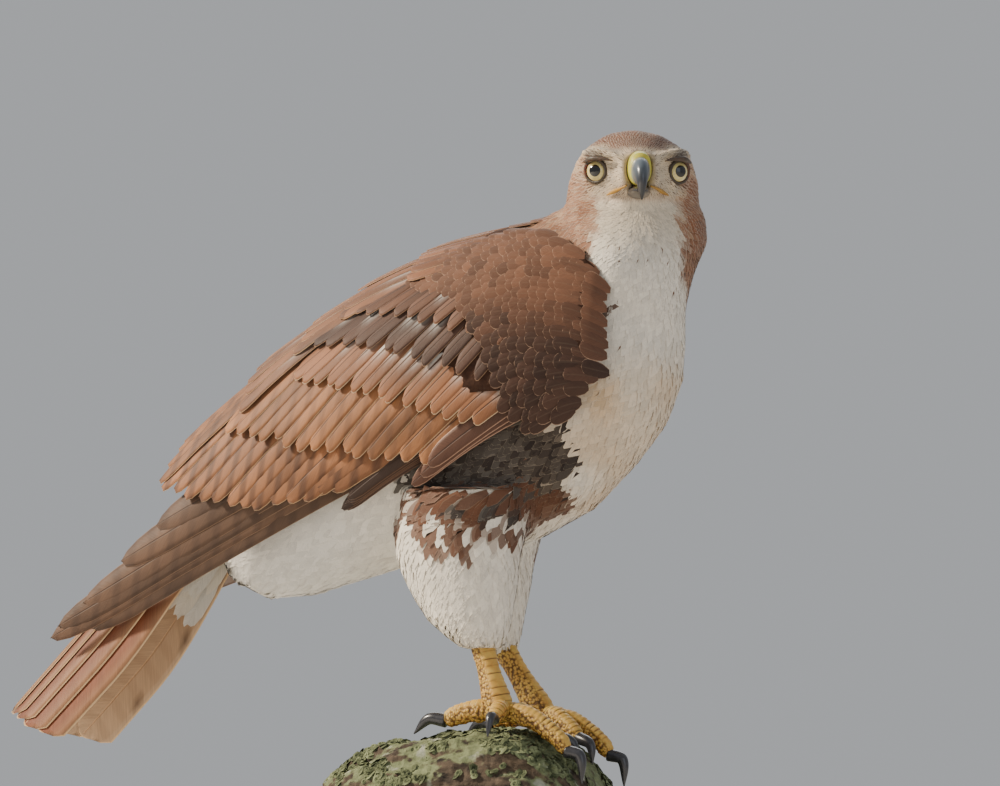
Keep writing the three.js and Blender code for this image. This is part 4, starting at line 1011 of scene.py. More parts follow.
# How far down the saddle's side the rows of lesser coverts begin and end, at places along the body.
COVERTS_BEGIN = [(-40, 46), (0, 44), (30, 48), (56, 62), (80, 72)]
COVERTS_END = [(-40, 62), (-10, 80), (8, 98), (24, 122), (36, 145), (54, 140), (66, 122), (80, 104)]
ROW_STEP, COVERT_STEP, ARM_END = 4.6, 5.8, 136


def lesser_coverts(side, draw):
    """Small scale-like feathers over the arm, in staggered rows from the back edge to the wrist."""
    roots, lengths = [], []
    for k, x in enumerate(np.arange(-34, 75, ROW_STEP)):
        begin, end = smooth(COVERTS_BEGIN, x)[0], smooth(COVERTS_END, x)[0]
        for arc in np.arange(begin + (k % 2) * COVERT_STEP / 2, end, COVERT_STEP):
            roots.append((x, arc))
            lengths.append(16 - 3 * ease(10, 70, x))
    roots, lengths = np.array(roots) + draw.normal(0, 0.7, (len(roots), 2)), np.array(lengths)
    n = len(roots)
    rows, cols = 8, 5
    t, u = 1 - (1 - np.arange(rows) / (rows - 1)) ** 1.5, np.linspace(-1, 1, cols)
    x = roots[:, :1] - lengths[:, None] * t * 0.95
    fall = 0.14 + 0.5 * ease(95, 150, roots[:, 1]) - 0.3 * ease(80, 50, roots[:, 1])
    arc = roots[:, 1:] + lengths[:, None] * t * fall[:, None]
    half = 4.9 * vane_width(t, 0.7, 2.2)[None, :] * (0.5 + 0.5 * (lengths[:, None] / 16))
    place = np.clip(roots[:, 0], -60, 72)
    top = smooth(ARM, place)[..., 3]
    top = np.maximum(top, smooth([(-60, -1.6), (0, -0.4), (70, -0.4)], place)[..., 0])
    lift = top[:, None] - 1.0 + 2.2 * t * (lengths / 16)[:, None] + draw.normal(0, 0.12, (n, 1))
    lift = lift - 6 * ease(64, 78, x)
    lift = lift[..., None] - 0.14 * half[..., None] * (u**2) * 1.4
    grid = on_saddle(side, x[..., None] + 0 * u, arc[..., None] + u * half[..., None], lift)
    if side > 0:
        grid = grid[:, :, ::-1]
    ground = mixed(rgb("#724c36"), rgb("#472f23"), ease(86, 112, roots[:, 1] + 4 * ripple(roots, 20, 34)))
    ground = ground * draw.uniform(0.72, 1.25, (n, 1)) * (1 + 0.15 * ripple(roots, 14, 35))[:, None]
    rim = mixed(ground, rgb("#cfa98a"), 0.6)
    c = np.stack([roots[:, 0] / 300 + 0.5, roots[:, 1] / 300 + 0.3 * (side > 0)], -1)
    return dict(
        grid=to_row(grid),
        share=shares(u * (1 if side < 0 else -1), t),
        luck=draw.uniform(0, 1, n),
        pigment=ground,
        rim=rim,
        streak=np.broadcast_to(DARK, (n, 3)),
        marks=np.broadcast_to((0.0009, 0.0, 0.16), (n, 3)),
        size=np.stack([lengths * 0.001, np.full(n, 0.0052), np.full(n, 0.08)], -1),
        bake=c,
        reach=np.full((n, 2), 0.01),
    )


def arm_core(side):
    """The flesh of the wing under its coverts, painted dark brown as their shade."""
    parts = []
    for outline, front in ((ARM, 64), (SHOULDER, 16)):
        x = np.linspace(outline[0][0], front, 24)
        rows = smooth(outline, x)
        e = np.linspace(0, 1, 18)
        arc = rows[:, :1] + (np.minimum(rows[:, 1:2], ARM_END) - rows[:, :1]) * e
        top, under = rows[:, 3:4] - 1.2, rows[:, 2:3] - 0.4
        parts.append([on_saddle(side, x[:, None] + 0 * e, arc, lift + 0 * e) for lift in (top, under)])
    return parts


# The wing's flesh: a dark brown that is painted shade, seen between the coverts.
shaded_wing_flesh, tree, shader = start_finish("wing_flesh_painted_shade", Roughness=0.85, Specular_IOR_Level=0.2)
spot = node(tree, "ShaderNodeTexCoord", out="Object")
fuzz = node(tree, "ShaderNodeTexNoise", {"Vector": spot, "Scale": 700.0, "Detail": 4.0})
colour = node(tree, "ShaderNodeMix", {0: fuzz, 6: linear("#2c1d16"), 7: linear("#503527")}, **COLOURS)
tree.links.new(colour, shader.inputs["Base Color"])
bumps = node(tree, "ShaderNodeBump", {"Height": fuzz, "Strength": 0.5, "Distance": 0.0008})
tree.links.new(bumps, shader.inputs["Normal"])
for side, label in ((-1, "right"), (1, "left")):
    draw = np.random.default_rng(310 + side)
    cell, groups = 0, []
    for spec in TIERS:
        groups.append(tier(side, spec, draw, cell))
        cell += spec["count"]
    add_vanes("wing_feathers_" + label, groups, flight, ["wing_" + label], thick=0.0004)
    add_vanes("lesser_coverts_" + label, [lesser_coverts(side, draw)], contour)
    verts, faces = [], []
    for top_grid, under_grid in arm_core(side):
        rows, cols = top_grid.shape[:2]
        start = sum(len(v) for v in verts)
        quads = (np.arange(rows - 1)[:, None] * cols + np.arange(cols - 1)[None, :]).ravel()
        for layer in (0, 1):
            q = quads + start + layer * rows * cols
            turn = [q, q + 1, q + cols + 1, q + cols]
            faces += np.stack(turn[::-1] if layer else turn, -1).tolist()
        loop = edge_loop(rows, cols)
        for p, q in zip(loop, loop[1:] + loop[:1]):
            faces.append([start + p, start + q, start + q + rows * cols, start + p + rows * cols])
        verts += [top_grid.reshape(-1, 3), under_grid.reshape(-1, 3)]
    outward(add_piece("wing_arm_" + label, to_row(np.concatenate(verts)), faces, shaded_wing_flesh))

# The mantle: short brown vanes in cross rows over the middle of the back, which close it between
# the two wings. Each row grows from the skin and lies over the one behind it.
draw = np.random.default_rng(404)
groups = []
for k, x in enumerate(range(52, -96, -15)):
    ends = ((x, -17), (x - 36, -19), (x, 17), (x - 36, 19))
    spec = dict(count=5 + k % 2, ends=ends, width=(14, 14), lift=((0, -4.6), (1, -1.8)), step=0, tilt=0.0)
    spec.update(ground="#6c4833", rim="#bd9674", rim_mm=0.9, bars=0.0)
    groups.append(tier(-1, spec, draw, 120 + 6 * k))
add_vanes("mantle_feathers", groups, flight, thick=0.0004)

# The tail: twelve broad feathers under an arched ridge, rufous above with cream edges and a thin
# dark band near the tip, pale below.
TAIL_ROOT, TAIL_LENGTH = np.array([-172.0, 0, 172]), 220
TAIL_PITCH, TAIL_ROLL = math.radians(45), math.radians(-5)
ARCH = [(0, 12, 18), (50, 20, 38), (100, 27, 52), (220, 31, 60)]
TAIL_CELL, TAIL_WIDTH = 10.6, 29.0


def on_tail(s, arc, lift):
    """Points at s along the tail, an arc's length from its middle, and a height over its arch."""
    along = np.array([-math.cos(TAIL_PITCH), 0, -math.sin(TAIL_PITCH)])
    up = np.array([-math.sin(TAIL_PITCH), 0, math.cos(TAIL_PITCH)])
    half, depth = (smooth(ARCH, s)[..., c] for c in range(2))
    a = arc / ((half + depth) / 2)
    oy, oz = np.sin(a) * depth, np.cos(a) * half
    norm = np.hypot(oy, oz)
    y, z = half * np.sin(a) + lift * oy / norm, -depth * (1 - np.cos(a)) + lift * oz / norm
    rise = y * math.sin(TAIL_ROLL) + z * math.cos(TAIL_ROLL)
    aside = y * math.cos(TAIL_ROLL) - z * math.sin(TAIL_ROLL)
    return TAIL_ROOT + s[..., None] * along + rise[..., None] * up + np.stack([0 * s, aside, 0 * s], -1)


tail_finish = plumage_finish("rufous_tail_keratin", 0.6, 0.52, "#c9a27c", barring="#4a2a1c")
draw = np.random.default_rng(77)
groups = []
rows, cols = 22, 9
t = 1 - (1 - np.arange(rows) / (rows - 1)) ** 1.5
u = np.linspace(-1, 1, cols)
for side in (1, -1):
    for n in range(6):
        if side < 0 and n == 0:
            middle, lift_n = 3.0, -0.9
        else:
            middle, lift_n = (0.0, 0.0) if n == 0 else ((n + 1) * TAIL_CELL - TAIL_WIDTH / 2, -1.13 * n - 0.2)
        reach = TAIL_LENGTH - 0.55 * n * n + draw.normal(0, 0.8)
        tip_round = np.sqrt(np.clip(1 - np.clip((t - 0.93) / 0.07, 0, 1) ** 3 * 0.85, 0, 1))
        half = TAIL_WIDTH / 2 * smooth(
            [(0, 0.4), (0.25, 0.8), (0.55, 0.95), (1.01, 1)], t
        )[..., 0] * tip_round
        arc = (middle * (0.5 + 0.5 * ease(-0.1, 0.75, t)))[:, None] + u * half[:, None]
        if n:
            arc = np.maximum(arc, 0.5)
        lift = lift_n - 1.2 * (1 - t)[:, None] + 0.02 * u * half[:, None] + 0.5 * (0.3 - u**2)
        s = reach * t[:, None] - 3.5 * u**2 * (t[:, None] > 0.95)
        grid = on_tail(s, side * arc, lift + 0 * s)[None]
        flip = side < 0
        share = shares(u, t)
        if not flip:
            grid = grid[:, :, ::-1]
            share = share[:, ::-1]
        upper = rgb("#743c20") * draw.uniform(0.82, 1.12)
        pale = rgb("#dfba8c")
        streaky = 0.5 + 0.5 * np.sin(u * 5 + draw.uniform(0, 6))[None, :, None]
        outer_web = ease(0.3, 1.0, u)[None, :, None]
        pigment = upper * (1 - 0.26 * outer_web) + pale * 0.26 * outer_web
        pigment = (pigment * (0.92 + 0.12 * streaky) * np.ones((rows, 1, 1)))[None]
        if not flip:
            pigment = pigment[:, :, ::-1]
        spots = np.exp(-(((u[None, :] - 0.72) / 0.16) ** 2)) * ease(0.7, 0.95, np.sin(s[:, 4:5] / 7.5 + n))
        below = mixed(mixed(CREAM, CINNAMON, 0.6) * np.ones((rows, cols, 3)), DARK, 0.7 * spots)[None]
        spot, cell_reach = bake_cells(len(groups), 1, 4)
        groups.append(dict(
            grid=to_row(grid),
            share=share,
            luck=draw.uniform(0, 1, 1),
            pigment=pigment,
            below=below if flip else below[:, :, ::-1],
            rim=pale[None],
            streak=rgb("#5a3422")[None],
            marks=np.array([[0.0016, 0.10, 0.0]]),
            size=np.array([[reach * 0.001, TAIL_WIDTH * 0.0005, 1.0]]),
            bake=spot,
            reach=cell_reach,
        ))
add_vanes("tail_feathers", groups, tail_finish, ["tail"], thick=0.0005)

# Tail coverts: short brown vanes over the root of the tail and long loose white ones under it,
# which hide where its feathers leave the body.
def tail_coverts(under, draw):
    """The loose feathers over or under the tail's root."""
    n = 420 if under else 54
    s = draw.uniform(-26, 66 if under else 34, n)
    arc = draw.uniform(-1, 1, n) * (50 if under else 40)
    length = draw.uniform(34, 50, n) if under else draw.uniform(30, 40, n)
    rows, cols = 7, 5
    t, u = np.linspace(0, 1, rows) ** 0.85, np.linspace(-1, 1, cols)
    half = 6.0 * np.interp(t, [0, 0.4, 0.7, 1], [0.5, 1, 0.95, 0.4])
    worn = draw.uniform(0, 5 if under else 2, (n, 1, cols)) * (t[:, None] > 0.99)
    along = s[:, None, None] + length[:, None, None] * t[:, None] - worn
    over = arc[:, None, None] * (0.55 + np.clip(along, 0, 120) / 190) + u * half[:, None]
    if under:
        depth = np.interp(s, [-26, 10, 66], [36, 22, 4])[:, None, None] * draw.uniform(0, 1, (n, 1, 1))
        lift = -7 - depth - 3 * t[:, None] + 0 * u - 0.3 * u**2
    else:
        lift = -1.5 + 2.6 * t[:, None] + draw.uniform(0, 0.8, (n, 1, 1)) - 0.5 * u**2
    grid = on_tail(np.maximum(along, -30) + 0 * u, over, lift + 0 * over)
    if under:
        grid = grid[:, :, ::-1]
    if under:
        colour = mixed(WHITE, GREY_WHITE, draw.uniform(0, 1, n))
    else:
        colour = mixed(rgb("#a36a45"), CREAM, draw.uniform(0, 0.4, n))
    colour = colour * draw.uniform(0.9, 1.05, (n, 1))
    return dict(
        grid=to_row(grid),
        share=shares(u, t),
        luck=draw.uniform(0, 1, n),
        pigment=colour,
        rim=mixed(colour, WHITE, 0.4),
        streak=np.broadcast_to(DARK, (n, 3)),
        marks=np.broadcast_to((0.001, 0.0, 0.0), (n, 3)),
        size=np.stack([length * 0.001, np.full(n, 0.006), np.full(n, 0.1)], -1),
        bake=np.stack([arc / 100 + 0.5, s / 120 + 0.4], -1),
        reach=np.full((n, 2), 0.003),
    )


for under, name, slot in (
    (False, "upper_tail_coverts", "rufous_tail"), (True, "under_tail_coverts", "cream_plumage")
):
    add_vanes(name, [tail_coverts(under, np.random.default_rng(90 + under))], contour)

# The eyes: hard glossy globes with a pale straw iris, a round black pupil and a dark rim, deep under
# the brow, looking out and forward.
eye_finish, tree, shader = start_finish(
    "eyeball", Roughness=0.12, IOR=1.38, Coat_Weight=1.0, Coat_Roughness=0.02
)
ring = node(tree, "ShaderNodeAttribute", attribute_name="gaze", out="Vector")
reading = tree.nodes.new("ShaderNodeSeparateXYZ")
tree.links.new(ring, reading.inputs[0])
spokes = node(tree, "ShaderNodeMath", {0: reading.outputs["Y"], 1: 14.0}, operation="MULTIPLY")
spokes = node(tree, "ShaderNodeCombineXYZ", {0: spokes, 1: reading.outputs["X"]})
flecks = node(tree, "ShaderNodeTexNoise", {"Vector": spokes, "Scale": 2.0, "Detail": 4.0})
iris = node(tree, "ShaderNodeMix", {0: flecks, 6: linear("#cdb66a"), 7: linear("#efe2a4")}, **COLOURS)
pupil = node(tree, "ShaderNodeMapRange", {0: reading.outputs["X"], 1: 0.445, 2: 0.475}, **EASED)
iris = node(tree, "ShaderNodeMix", {0: pupil, 6: linear("#060504"), 7: iris}, **COLOURS)
outer = node(tree, "ShaderNodeMapRange", {0: reading.outputs["X"], 1: 0.84, 2: 0.92}, **EASED)
iris = node(tree, "ShaderNodeMix", {0: outer, 6: iris, 7: linear("#1a1410")}, **COLOURS)
tree.links.new(iris, shader.inputs["Base Color"])

# Dark bare skin of the lids; on the brows the same dark colour is painted shade.
lids_and_brow_shade, tree, shader = start_finish("dark_lids_and_painted_brow_shade", Roughness=0.5, Subsurface_Weight=0.1)
spot = node(tree, "ShaderNodeTexCoord", out="Object")
crease = node(tree, "ShaderNodeTexNoise", {"Vector": spot, "Scale": 700.0, "Detail": 3.0})
colour = node(tree, "ShaderNodeMix", {0: crease, 6: linear("#241b16"), 7: linear("#5f5141")}, **COLOURS)
tree.links.new(colour, shader.inputs["Base Color"])
bumps = node(tree, "ShaderNodeBump", {"Height": crease, "Strength": 0.5, "Distance": 0.0004})
tree.links.new(bumps, shader.inputs["Normal"])


def ring_faces(rings, sides):
    """Faces of a loft closed on itself."""
    i, j = np.meshgrid(np.arange(rings), np.arange(sides), indexing="ij")
    k, m = (j + 1) % sides, (i + 1) % rings
    return np.stack([i * sides + j, i * sides + k, m * sides + k, m * sides + j], -1).reshape(-1, 4)


for side, label in ((1, "left"), (-1, "right")):
    centre, up = np.array([EYE_X, side * EYE_Y, 0.0]), np.array([0.0, 0, 1])
    out = np.array([math.cos(GAZE_OUT), side * math.sin(GAZE_OUT), 0.0])
    across = np.array([-out[1], out[0], 0.0])
    tilt = np.linspace(0, math.pi, 33)
    spin = np.linspace(0, 2 * math.pi, 40, endpoint=False)
    bulge = 1 + 0.045 * np.exp(-((tilt / 0.75) ** 4))
    ring = np.cos(spin)[None, :, None] * across + np.sin(spin)[None, :, None] * up
    ball = np.cos(tilt)[:, None, None] * out + np.sin(tilt)[:, None, None] * ring
    ball = to_row(from_head(centre + EYE_RADIUS * bulge[:, None, None] * ball))
    eye = outward(
        add_piece("eyeball_" + label, ball, tube_faces(33, 40), eye_finish, ["eye_" + label])
    )
    values = np.zeros((33, 40, 3))
    values[..., 0], values[..., 1] = tilt[:, None], np.sin(spin)[None, :] + 2 * np.cos(spin)[None, :]
    eye.data.attributes.new("gaze", "FLOAT_VECTOR", "POINT").data.foreach_set("vector", values.ravel())
    out = np.array([math.cos(EYE_OUT), side * math.sin(EYE_OUT), 0.0])
    across = np.array([-out[1], out[0], 0.0])
    steps, sides = 40, 10
    a = np.linspace(0, 2 * math.pi, steps, endpoint=False)[:, None]
    b = np.linspace(0, 2 * math.pi, sides, endpoint=False)[None, :]
    spoke = np.cos(a)[..., None] * across * 6.7 + np.sin(a)[..., None] * up * 6.3
    spoke_dir = spoke / np.linalg.norm(spoke, axis=-1, keepdims=True)
    fat = 0.95 + 0.45 * np.clip(np.sin(a), 0, 1)
    lids = centre + out * (3.7 + 0.4 * np.sin(a)[..., None]) + spoke
    lids = lids + (fat * np.cos(b))[..., None] * spoke_dir + (1.5 * fat * np.sin(b))[..., None] * out
    lids = to_row(from_head(lids))
    outward(add_piece("lids_" + label, lids, ring_faces(steps, sides), lids_and_brow_shade))

# The bill: a waxy yellow-green cere with sunk nostrils, painted near black inside as their shade, then
# blue-grey horn that darkens to a black hooked tip, over a shallow lower bill, with the yellow corner of the
# mouth behind it.
def ovals(rows, steps, sides, squareness=1.05):
    """Rings from rows of (place, x, z, lean, half height, half width) in the head's frame."""
    rows = np.asarray(rows, float)
    s = np.linspace(rows[0, 0], rows[-1, 0], steps)
    x, z, lean, high, wide = (smooth(rows, s)[:, c][:, None] for c in range(5))
    a = np.linspace(0, 2 * math.pi, sides, endpoint=False)[None, :]
    over, beside = (np.sign(v) * np.abs(v) ** (1 / squareness) for v in (np.cos(a), np.sin(a)))
    h, lean = over * high, np.radians(lean)
    return np.stack([x + h * np.sin(lean), beside * wide, z + h * np.cos(lean)], -1)


BILL = [
    (0, 35.8, -1.4, 0, 7.9, 5.3), (1, 40.6, -2.2, 16, 7.2, 4.7), (2, 44.2, -4.9, 42, 6.2, 3.8),
    (3, 46.0, -9.4, 66, 4.2, 2.7), (4, 45.8, -13.8, 84, 2.3, 1.6), (5, 44.8, -17.6, 96, 0.6, 0.5),
]
LOWER_BILL = [
    (0, 20, -12.4, 0, 3.4, 6.4), (1, 28, -12.2, 0, 3.0, 5.8), (2, 36, -12.0, 0, 2.4, 4.6),
    (3, 41.5, -12.2, 0, 1.2, 2.6),
]
horn, tree, shader = start_finish("bill_horn", Roughness=0.3, IOR=1.55, Coat_Weight=0.4, Coat_Roughness=0.12)
down = node(tree, "ShaderNodeAttribute", attribute_name="course", out="Vector")
down = node(tree, "ShaderNodeSeparateXYZ", {0: down})
spot = node(tree, "ShaderNodeTexCoord", out="Object")
wax = node(tree, "ShaderNodeTexNoise", {"Vector": spot, "Scale": 320.0, "Detail": 3.0})
shade = node(tree, "ShaderNodeMath", {0: wax, 1: 0.12, 2: down}, operation="MULTIPLY_ADD")
ramp = tree.nodes.new("ShaderNodeValToRGB")
tree.links.new(shade, ramp.inputs[0])
for place, colour in ((0.0, "#7f8a92"), (0.3, "#5b6670"), (0.62, "#2b2e34"), (1.0, "#0f0f12")):
    stops = ramp.color_ramp.elements
    stop = stops.new(place) if 0 < place < 1 else stops[-1 if place else 0]
    stop.color = linear(colour)
tree.links.new(ramp.outputs[0], shader.inputs["Base Color"])
bumps = node(tree, "ShaderNodeBump", {"Height": wax, "Strength": 0.12, "Distance": 0.0004})
tree.links.new(bumps, shader.inputs["Normal"])


def course(made, values):
    """Stores a value from 0 to 1 at each point of a piece, which sets how dark it is painted: how far along
    its length it lies, or painted shade in the nostrils and under the bill.
    """
    vector = np.zeros((len(values), 3))
    vector[:, 0] = values
    made.data.attributes.new("course", "FLOAT_VECTOR", "POINT").data.foreach_set("vector", vector.ravel())


STEPS, SIDES = 44, 36
upper = ovals(BILL, STEPS, SIDES)
upper = to_row(from_head(upper))
made = outward(add_piece("upper_bill", upper, tube_faces(STEPS, SIDES), horn, ["bill_upper"]))
course(made, np.repeat(np.linspace(0, 1, STEPS), SIDES))
lower = ovals(LOWER_BILL, 26, 28)
made = outward(
    add_piece("lower_bill", to_row(from_head(lower)), tube_faces(26, 28), horn, ["bill_lower"])
)
# The lower bill takes only the darker part of the horn's colours: painted shade under the upper bill.
course(made, np.repeat(np.linspace(0.45, 0.9, 26), 28))

cere_wax, tree, shader = start_finish(
    "waxy_cere", Roughness=0.4, Subsurface_Weight=0.15, Coat_Weight=0.2, Coat_Roughness=0.3
)
spot = node(tree, "ShaderNodeTexCoord", out="Object")
mottle = node(tree, "ShaderNodeTexNoise", {"Vector": spot, "Scale": 260.0, "Detail": 3.0})
pebble = node(tree, "ShaderNodeTexVoronoi", {"Vector": spot, "Scale": 1400.0})
nostril_shade = node(tree, "ShaderNodeAttribute", attribute_name="course", out="Vector")
nostril_shade = node(tree, "ShaderNodeSeparateXYZ", {0: nostril_shade})
wax_colour = node(tree, "ShaderNodeMix", {0: mottle, 6: linear("#b3ad3c"), 7: linear("#d8cf58")}, **COLOURS)
# Painted shade: the nostrils' dents darken to near black.
colour = node(tree, "ShaderNodeMix", {0: nostril_shade, 6: wax_colour, 7: linear("#15120c")}, **COLOURS)
tree.links.new(colour, shader.inputs["Base Color"])
bumps = node(tree, "ShaderNodeBump", {"Height": pebble, "Strength": 0.2, "Distance": 0.0003})
tree.links.new(bumps, shader.inputs["Normal"])
tc = np.linspace(0, 1, 24)
cere_rows = np.stack(
    [tc, 21 + 15 * tc, (10.2 - 1.6 * tc**2 - 9) / 2, 0 * tc, (10.2 - 1.6 * tc**2 + 9) / 2, 6.8 - 0.8 * tc],
    -1,
)
cere = ovals(cere_rows, 40, 44, 1.1)
nostril = np.zeros(cere.shape[:2])
for s in (1, -1):
    gap = np.linalg.norm((cere - (32.5, s * 5.6, 1.2)) / (1.0, 1.3, 1.25), axis=-1)
    cere[..., 1] -= s * 3.0 * np.exp(-((gap / 1.5) ** 2))
    nostril = np.maximum(nostril, ease(1.9, 1.2, gap))
cere[..., 2] += 0.5 * np.exp(-(((cere[..., 0] - 30) / 4) ** 2)) * (cere[..., 2] > 4)
made = outward(
    add_piece("cere_skin", to_row(from_head(cere)), tube_faces(40, 44), cere_wax, ["cere"])
)
course(made, nostril.ravel())

gape_skin, tree, shader = start_finish("gape_skin", Roughness=0.45, Subsurface_Weight=0.15)
spot = node(tree, "ShaderNodeTexCoord", out="Object")
spot = node(tree, "ShaderNodeTexNoise", {"Vector": spot, "Scale": 300.0})
colour = node(tree, "ShaderNodeMix", {0: spot, 6: linear("#94622a"), 7: linear("#c8953c")}, **COLOURS)
tree.links.new(colour, shader.inputs["Base Color"])


def cord_rings(path, radii, steps, sides, flat=1.0):
    """The middle line and the rings of a round or flattened tube along a path, in its units."""
    path = np.asarray(path, float)
    place = np.concatenate([[0], np.cumsum(np.linalg.norm(np.diff(path, axis=0), axis=1))])
    place /= place[-1]
    s = np.linspace(0, 1, steps)
    line = smooth(np.concatenate([place[:, None], path], 1), s)
    radius = smooth(np.stack([np.linspace(0, 1, len(radii)), radii], -1), s)[:, 0]
    ahead = np.gradient(line, axis=0)
    ahead /= np.linalg.norm(ahead, axis=1, keepdims=True)
    up = np.array([0.0, 0, 1]) - ahead * ahead[:, 2:]
    up /= np.maximum(np.linalg.norm(up, axis=1, keepdims=True), 1e-6)
    for i in range(1, steps):
        turned = up[i - 1] - ahead[i] * np.dot(up[i - 1], ahead[i])
        up[i] = turned / np.linalg.norm(turned)
    side = np.cross(ahead, up)
    a = np.linspace(0, 2 * math.pi, sides, endpoint=False)
    ring = np.cos(a)[None, :, None] * up[:, None] * flat + np.sin(a)[None, :, None] * side[:, None]
    return line, line[:, None] + radius[:, None, None] * ring


for side, label in ((1, "left"), (-1, "right")):
    path = [(29, side * 7.4, -9.8), (25, side * 11, -10.8), (21, side * 14.5, -12.2), (16, side * 18.5, -14)]
    place, normal = on_skin(from_head(path))
    rings = cord_rings(place + normal * 1.5, [0.5, 0.8, 1.1, 0.3], 26, 12)[-1]
    outward(add_piece("gape_" + label, to_row(rings), tube_faces(26, 12), gape_skin))

# The brow: a hard ridge of bone which juts over each eye and gives the bird its frown. It is
# given the lids' dark skin, as painted shade under the brow.
for side, label in ((1, "left"), (-1, "right")):
    path = [(22.5, side * 14.5, 5.0), (20.3, side * 19, 6.2), (16.0, side * 25, 6.6), (8.0, side * 30, 5.0)]
    rings = cord_rings(path, [0.3, 1.4, 1.9, 0.6], 30, 14, 0.85)[-1]
    outward(
        add_piece("brow_" + label, to_row(from_head(rings)), tube_faces(30, 14), lids_and_brow_shade)
    )

# The feet: bare yellow legs and toes with broad overlapping scutes in front and on top, small
# pebbled scales elsewhere and padded joints under the toes.
foot_skin, tree, shader = start_finish(
    "scaled_foot_skin", Roughness=0.55, Subsurface_Weight=0.08, Specular_IOR_Level=0.4
)
spot = node(tree, "ShaderNodeTexCoord", out="Object")
scale_cells = node(tree, "ShaderNodeTexVoronoi", {"Vector": spot, "Scale": 620.0}, feature="F1")
grime = node(tree, "ShaderNodeTexNoise", {"Vector": spot, "Scale": 160.0, "Detail": 4.0})
groove = node(tree, "ShaderNodeAttribute", attribute_name="course", out="Vector")
parts = tree.nodes.new("ShaderNodeSeparateXYZ")
tree.links.new(groove, parts.inputs[0])
colour = node(tree, "ShaderNodeMix", {0: grime, 6: linear("#a9772a"), 7: linear("#e3bf62")}, **COLOURS)
seam = node(tree, "ShaderNodeMapRange", {0: scale_cells, 1: 0.3, 2: 0.75}, **EASED)
seam = node(tree, "ShaderNodeMath", {0: seam, 1: parts.outputs["Y"]}, operation="MULTIPLY")
deep = node(tree, "ShaderNodeMath", {0: seam, 1: parts.outputs["Z"]}, operation="MAXIMUM")
colour = node(tree, "ShaderNodeMix", {0: deep, 6: colour, 7: linear("#5f4118")}, **COLOURS)
tree.links.new(colour, shader.inputs["Base Color"])
pad_relief = node(tree, "ShaderNodeMath", {0: scale_cells, 1: -1.0}, operation="MULTIPLY")
pad_relief = node(tree, "ShaderNodeMath", {0: pad_relief, 1: parts.outputs["Y"]}, operation="MULTIPLY")
bumps = node(tree, "ShaderNodeBump", {"Height": pad_relief, "Strength": 0.8, "Distance": 0.0009})
tree.links.new(bumps, shader.inputs["Normal"])

claw_horn, tree, shader = start_finish(
    "claw_horn", Roughness=0.28, IOR=1.55, Coat_Weight=0.3, Coat_Roughness=0.15
)
spot = node(tree, "ShaderNodeTexCoord", out="Object")
streaks = node(tree, "ShaderNodeTexNoise", {"Vector": spot, "Scale": 350.0, "Detail": 3.0})
colour = node(tree, "ShaderNodeMix", {0: streaks, 6: linear("#121114"), 7: linear("#3a3a40")}, **COLOURS)
tree.links.new(colour, shader.inputs["Base Color"])
gloss = node(tree, "ShaderNodeMapRange", {0: streaks, 3: 0.2, 4: 0.42})
tree.links.new(gloss, shader.inputs["Roughness"])


def scaly(name, path, radii, steps, sides, scute, front, replaced, pads=()):
    """A leg or toe: a tube with scutes of the given length on the side that front names, and pads
    under it as (place, height, length)."""
    line, rings = cord_rings(path, radii, steps, sides)
    run = np.concatenate([[0], np.cumsum(np.linalg.norm(np.diff(line, axis=0), axis=1))])
    centre = line[:, None]
    spoke = rings - centre
    radius = np.linalg.norm(spoke, axis=-1, keepdims=True)
    spoke = spoke / radius
    facing = (spoke * np.asarray(front, float)).sum(-1)
    plated = ease(0.25, 0.6, facing)
    saw = (run[:, None] / scute) % 1.0
    plate = np.where(saw < 0.84, 0.35 + 0.65 * saw / 0.84, 1.0 - 1.25 * (saw - 0.84) / 0.16)
    swell = sum((h * np.exp(-(((run - at * run[-1]) / w) ** 2)) for at, h, w in pads), 0 * run)[:, None]
    beneath = ease(0.0, 0.8, -facing)
    pebbles = 0.22 * ripple(rings, 2.6, 61) * (1 - plated)
    grown = radius[..., 0] + plated * 0.55 * plate + swell * (0.35 + 0.65 * beneath) + pebbles
    made = outward(
        add_piece(
            name, to_row(centre + spoke * grown[..., None]), tube_faces(steps, sides), foot_skin,
            replaced,
        )
    )
    vector = np.stack(
        [
            np.broadcast_to(run[:, None] / run[-1], grown.shape), 1 - plated,
            plated * np.clip((saw - 0.86) / 0.1, 0, 1),
        ],
        -1,
    )
    made.data.attributes.new("course", "FLOAT_VECTOR", "POINT").data.foreach_set("vector", vector.ravel())
    return made


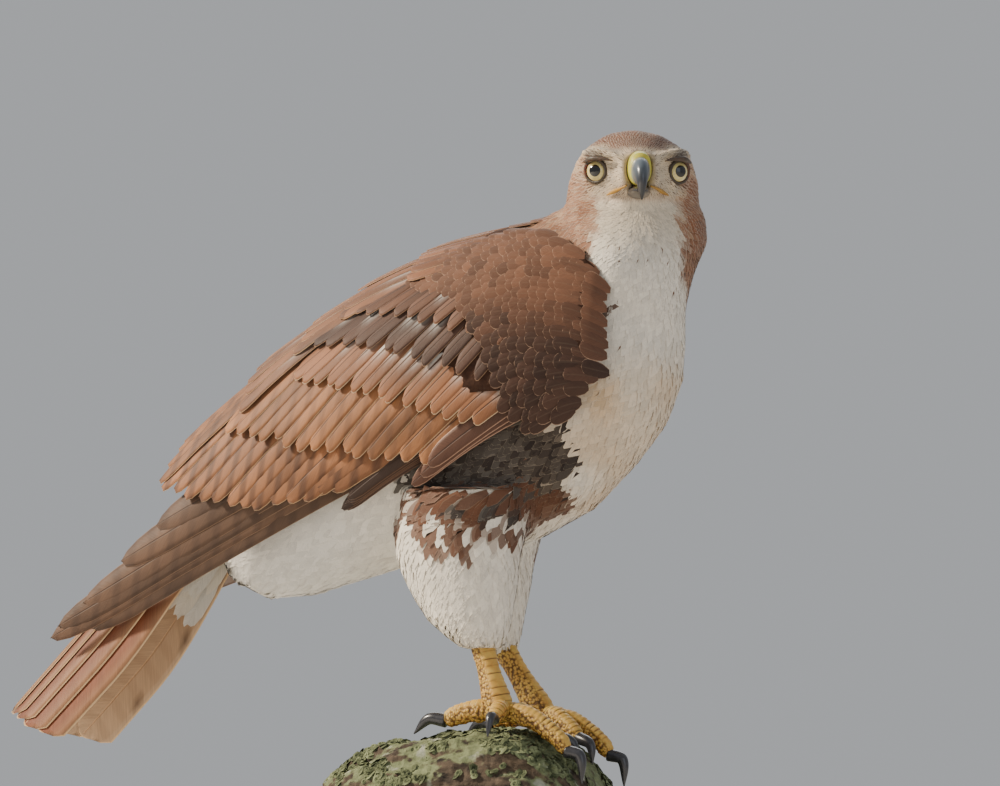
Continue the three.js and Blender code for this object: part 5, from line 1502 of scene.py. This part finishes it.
LEGS = {"right": (-1, (-9.5, -27, 42), (0, -27, 8)), "left": (1, (-19, 26, 44), (3, 27, 8))}
TOES = {
    "hallux": (
        [(0, 0, 8), (-12, 1, 9), (-22, 2, 7.5), (-31, 3, 4)], [(-31, 3, 4), (-41, 3.5, 5), (-50, 4, -3)], 6.0
    ),
    "inner": (
        [(0, 0, 8), (9, -6, 8), (19, -11, 2.5), (28, -15, -5)],
        [(28, -15, -5), (36, -18, -9), (38, -19, -20)], 5.4,
    ),
    "middle": (
        [(0, 0, 8), (12, 0, 7), (24, 0, 1.5), (36, 0, -8), (40, 0, -14)],
        [(40, 0, -14), (48, 0, -17), (49, 0, -32)], 5.5,
    ),
    "outer": (
        [(0, 0, 8), (4, 8, 9), (6, 16, 7.5), (7, 23, 3)], [(7, 23, 3), (9, 32, 3.5), (9, 36, -7)], 5.0
    ),
}
for label, (side, ankle, foot) in LEGS.items():
    ankle, foot = np.array(ankle, float), np.array(foot, float)
    shank = [ankle + (foot - ankle) * s for s in (-0.3, 0, 0.4, 0.75, 1, 1.1)]
    scaly(
        "leg_" + label, shank, [6.6, 6.4, 5.9, 6.8, 8.2, 7.4], 90, 40, 4.2, (0.9, side * 0.3, 0),
        ["tarsus_" + label],
    )
    for toe, (path, tip, thick) in TOES.items():
        place = [foot * (1, 1, 0) + np.array(p) * (1, side, 1) for p in path]
        radii = [thick * k for k in (1.08, 0.93, 0.9, 0.96, 0.95, 0.86, 0.84, 0.8, 0.5)]
        pads = ((0.35, 0.9, 3.2), (0.68, 0.9, 3.0), (0.94, 0.7, 2.6))
        scaly(
            f"toe_{toe}_scaled_{label}", place, radii, 80, 30, 3.1, (0.25, 0, 0.95), [f"toe_{toe}_{label}"],
            pads,
        )
        place = [foot * (1, 1, 0) + np.array(p) * (1, side, 1) for p in tip]
        rings = cord_rings(place, [thick * 0.66, thick * 0.58, thick * 0.4, thick * 0.06], 40, 22)[-1]
        outward(
            add_piece(
                f"claw_{toe}_horn_{label}", to_row(rings), tube_faces(40, 22), claw_horn,
                [f"claw_{toe}_{label}"],
            )
        )
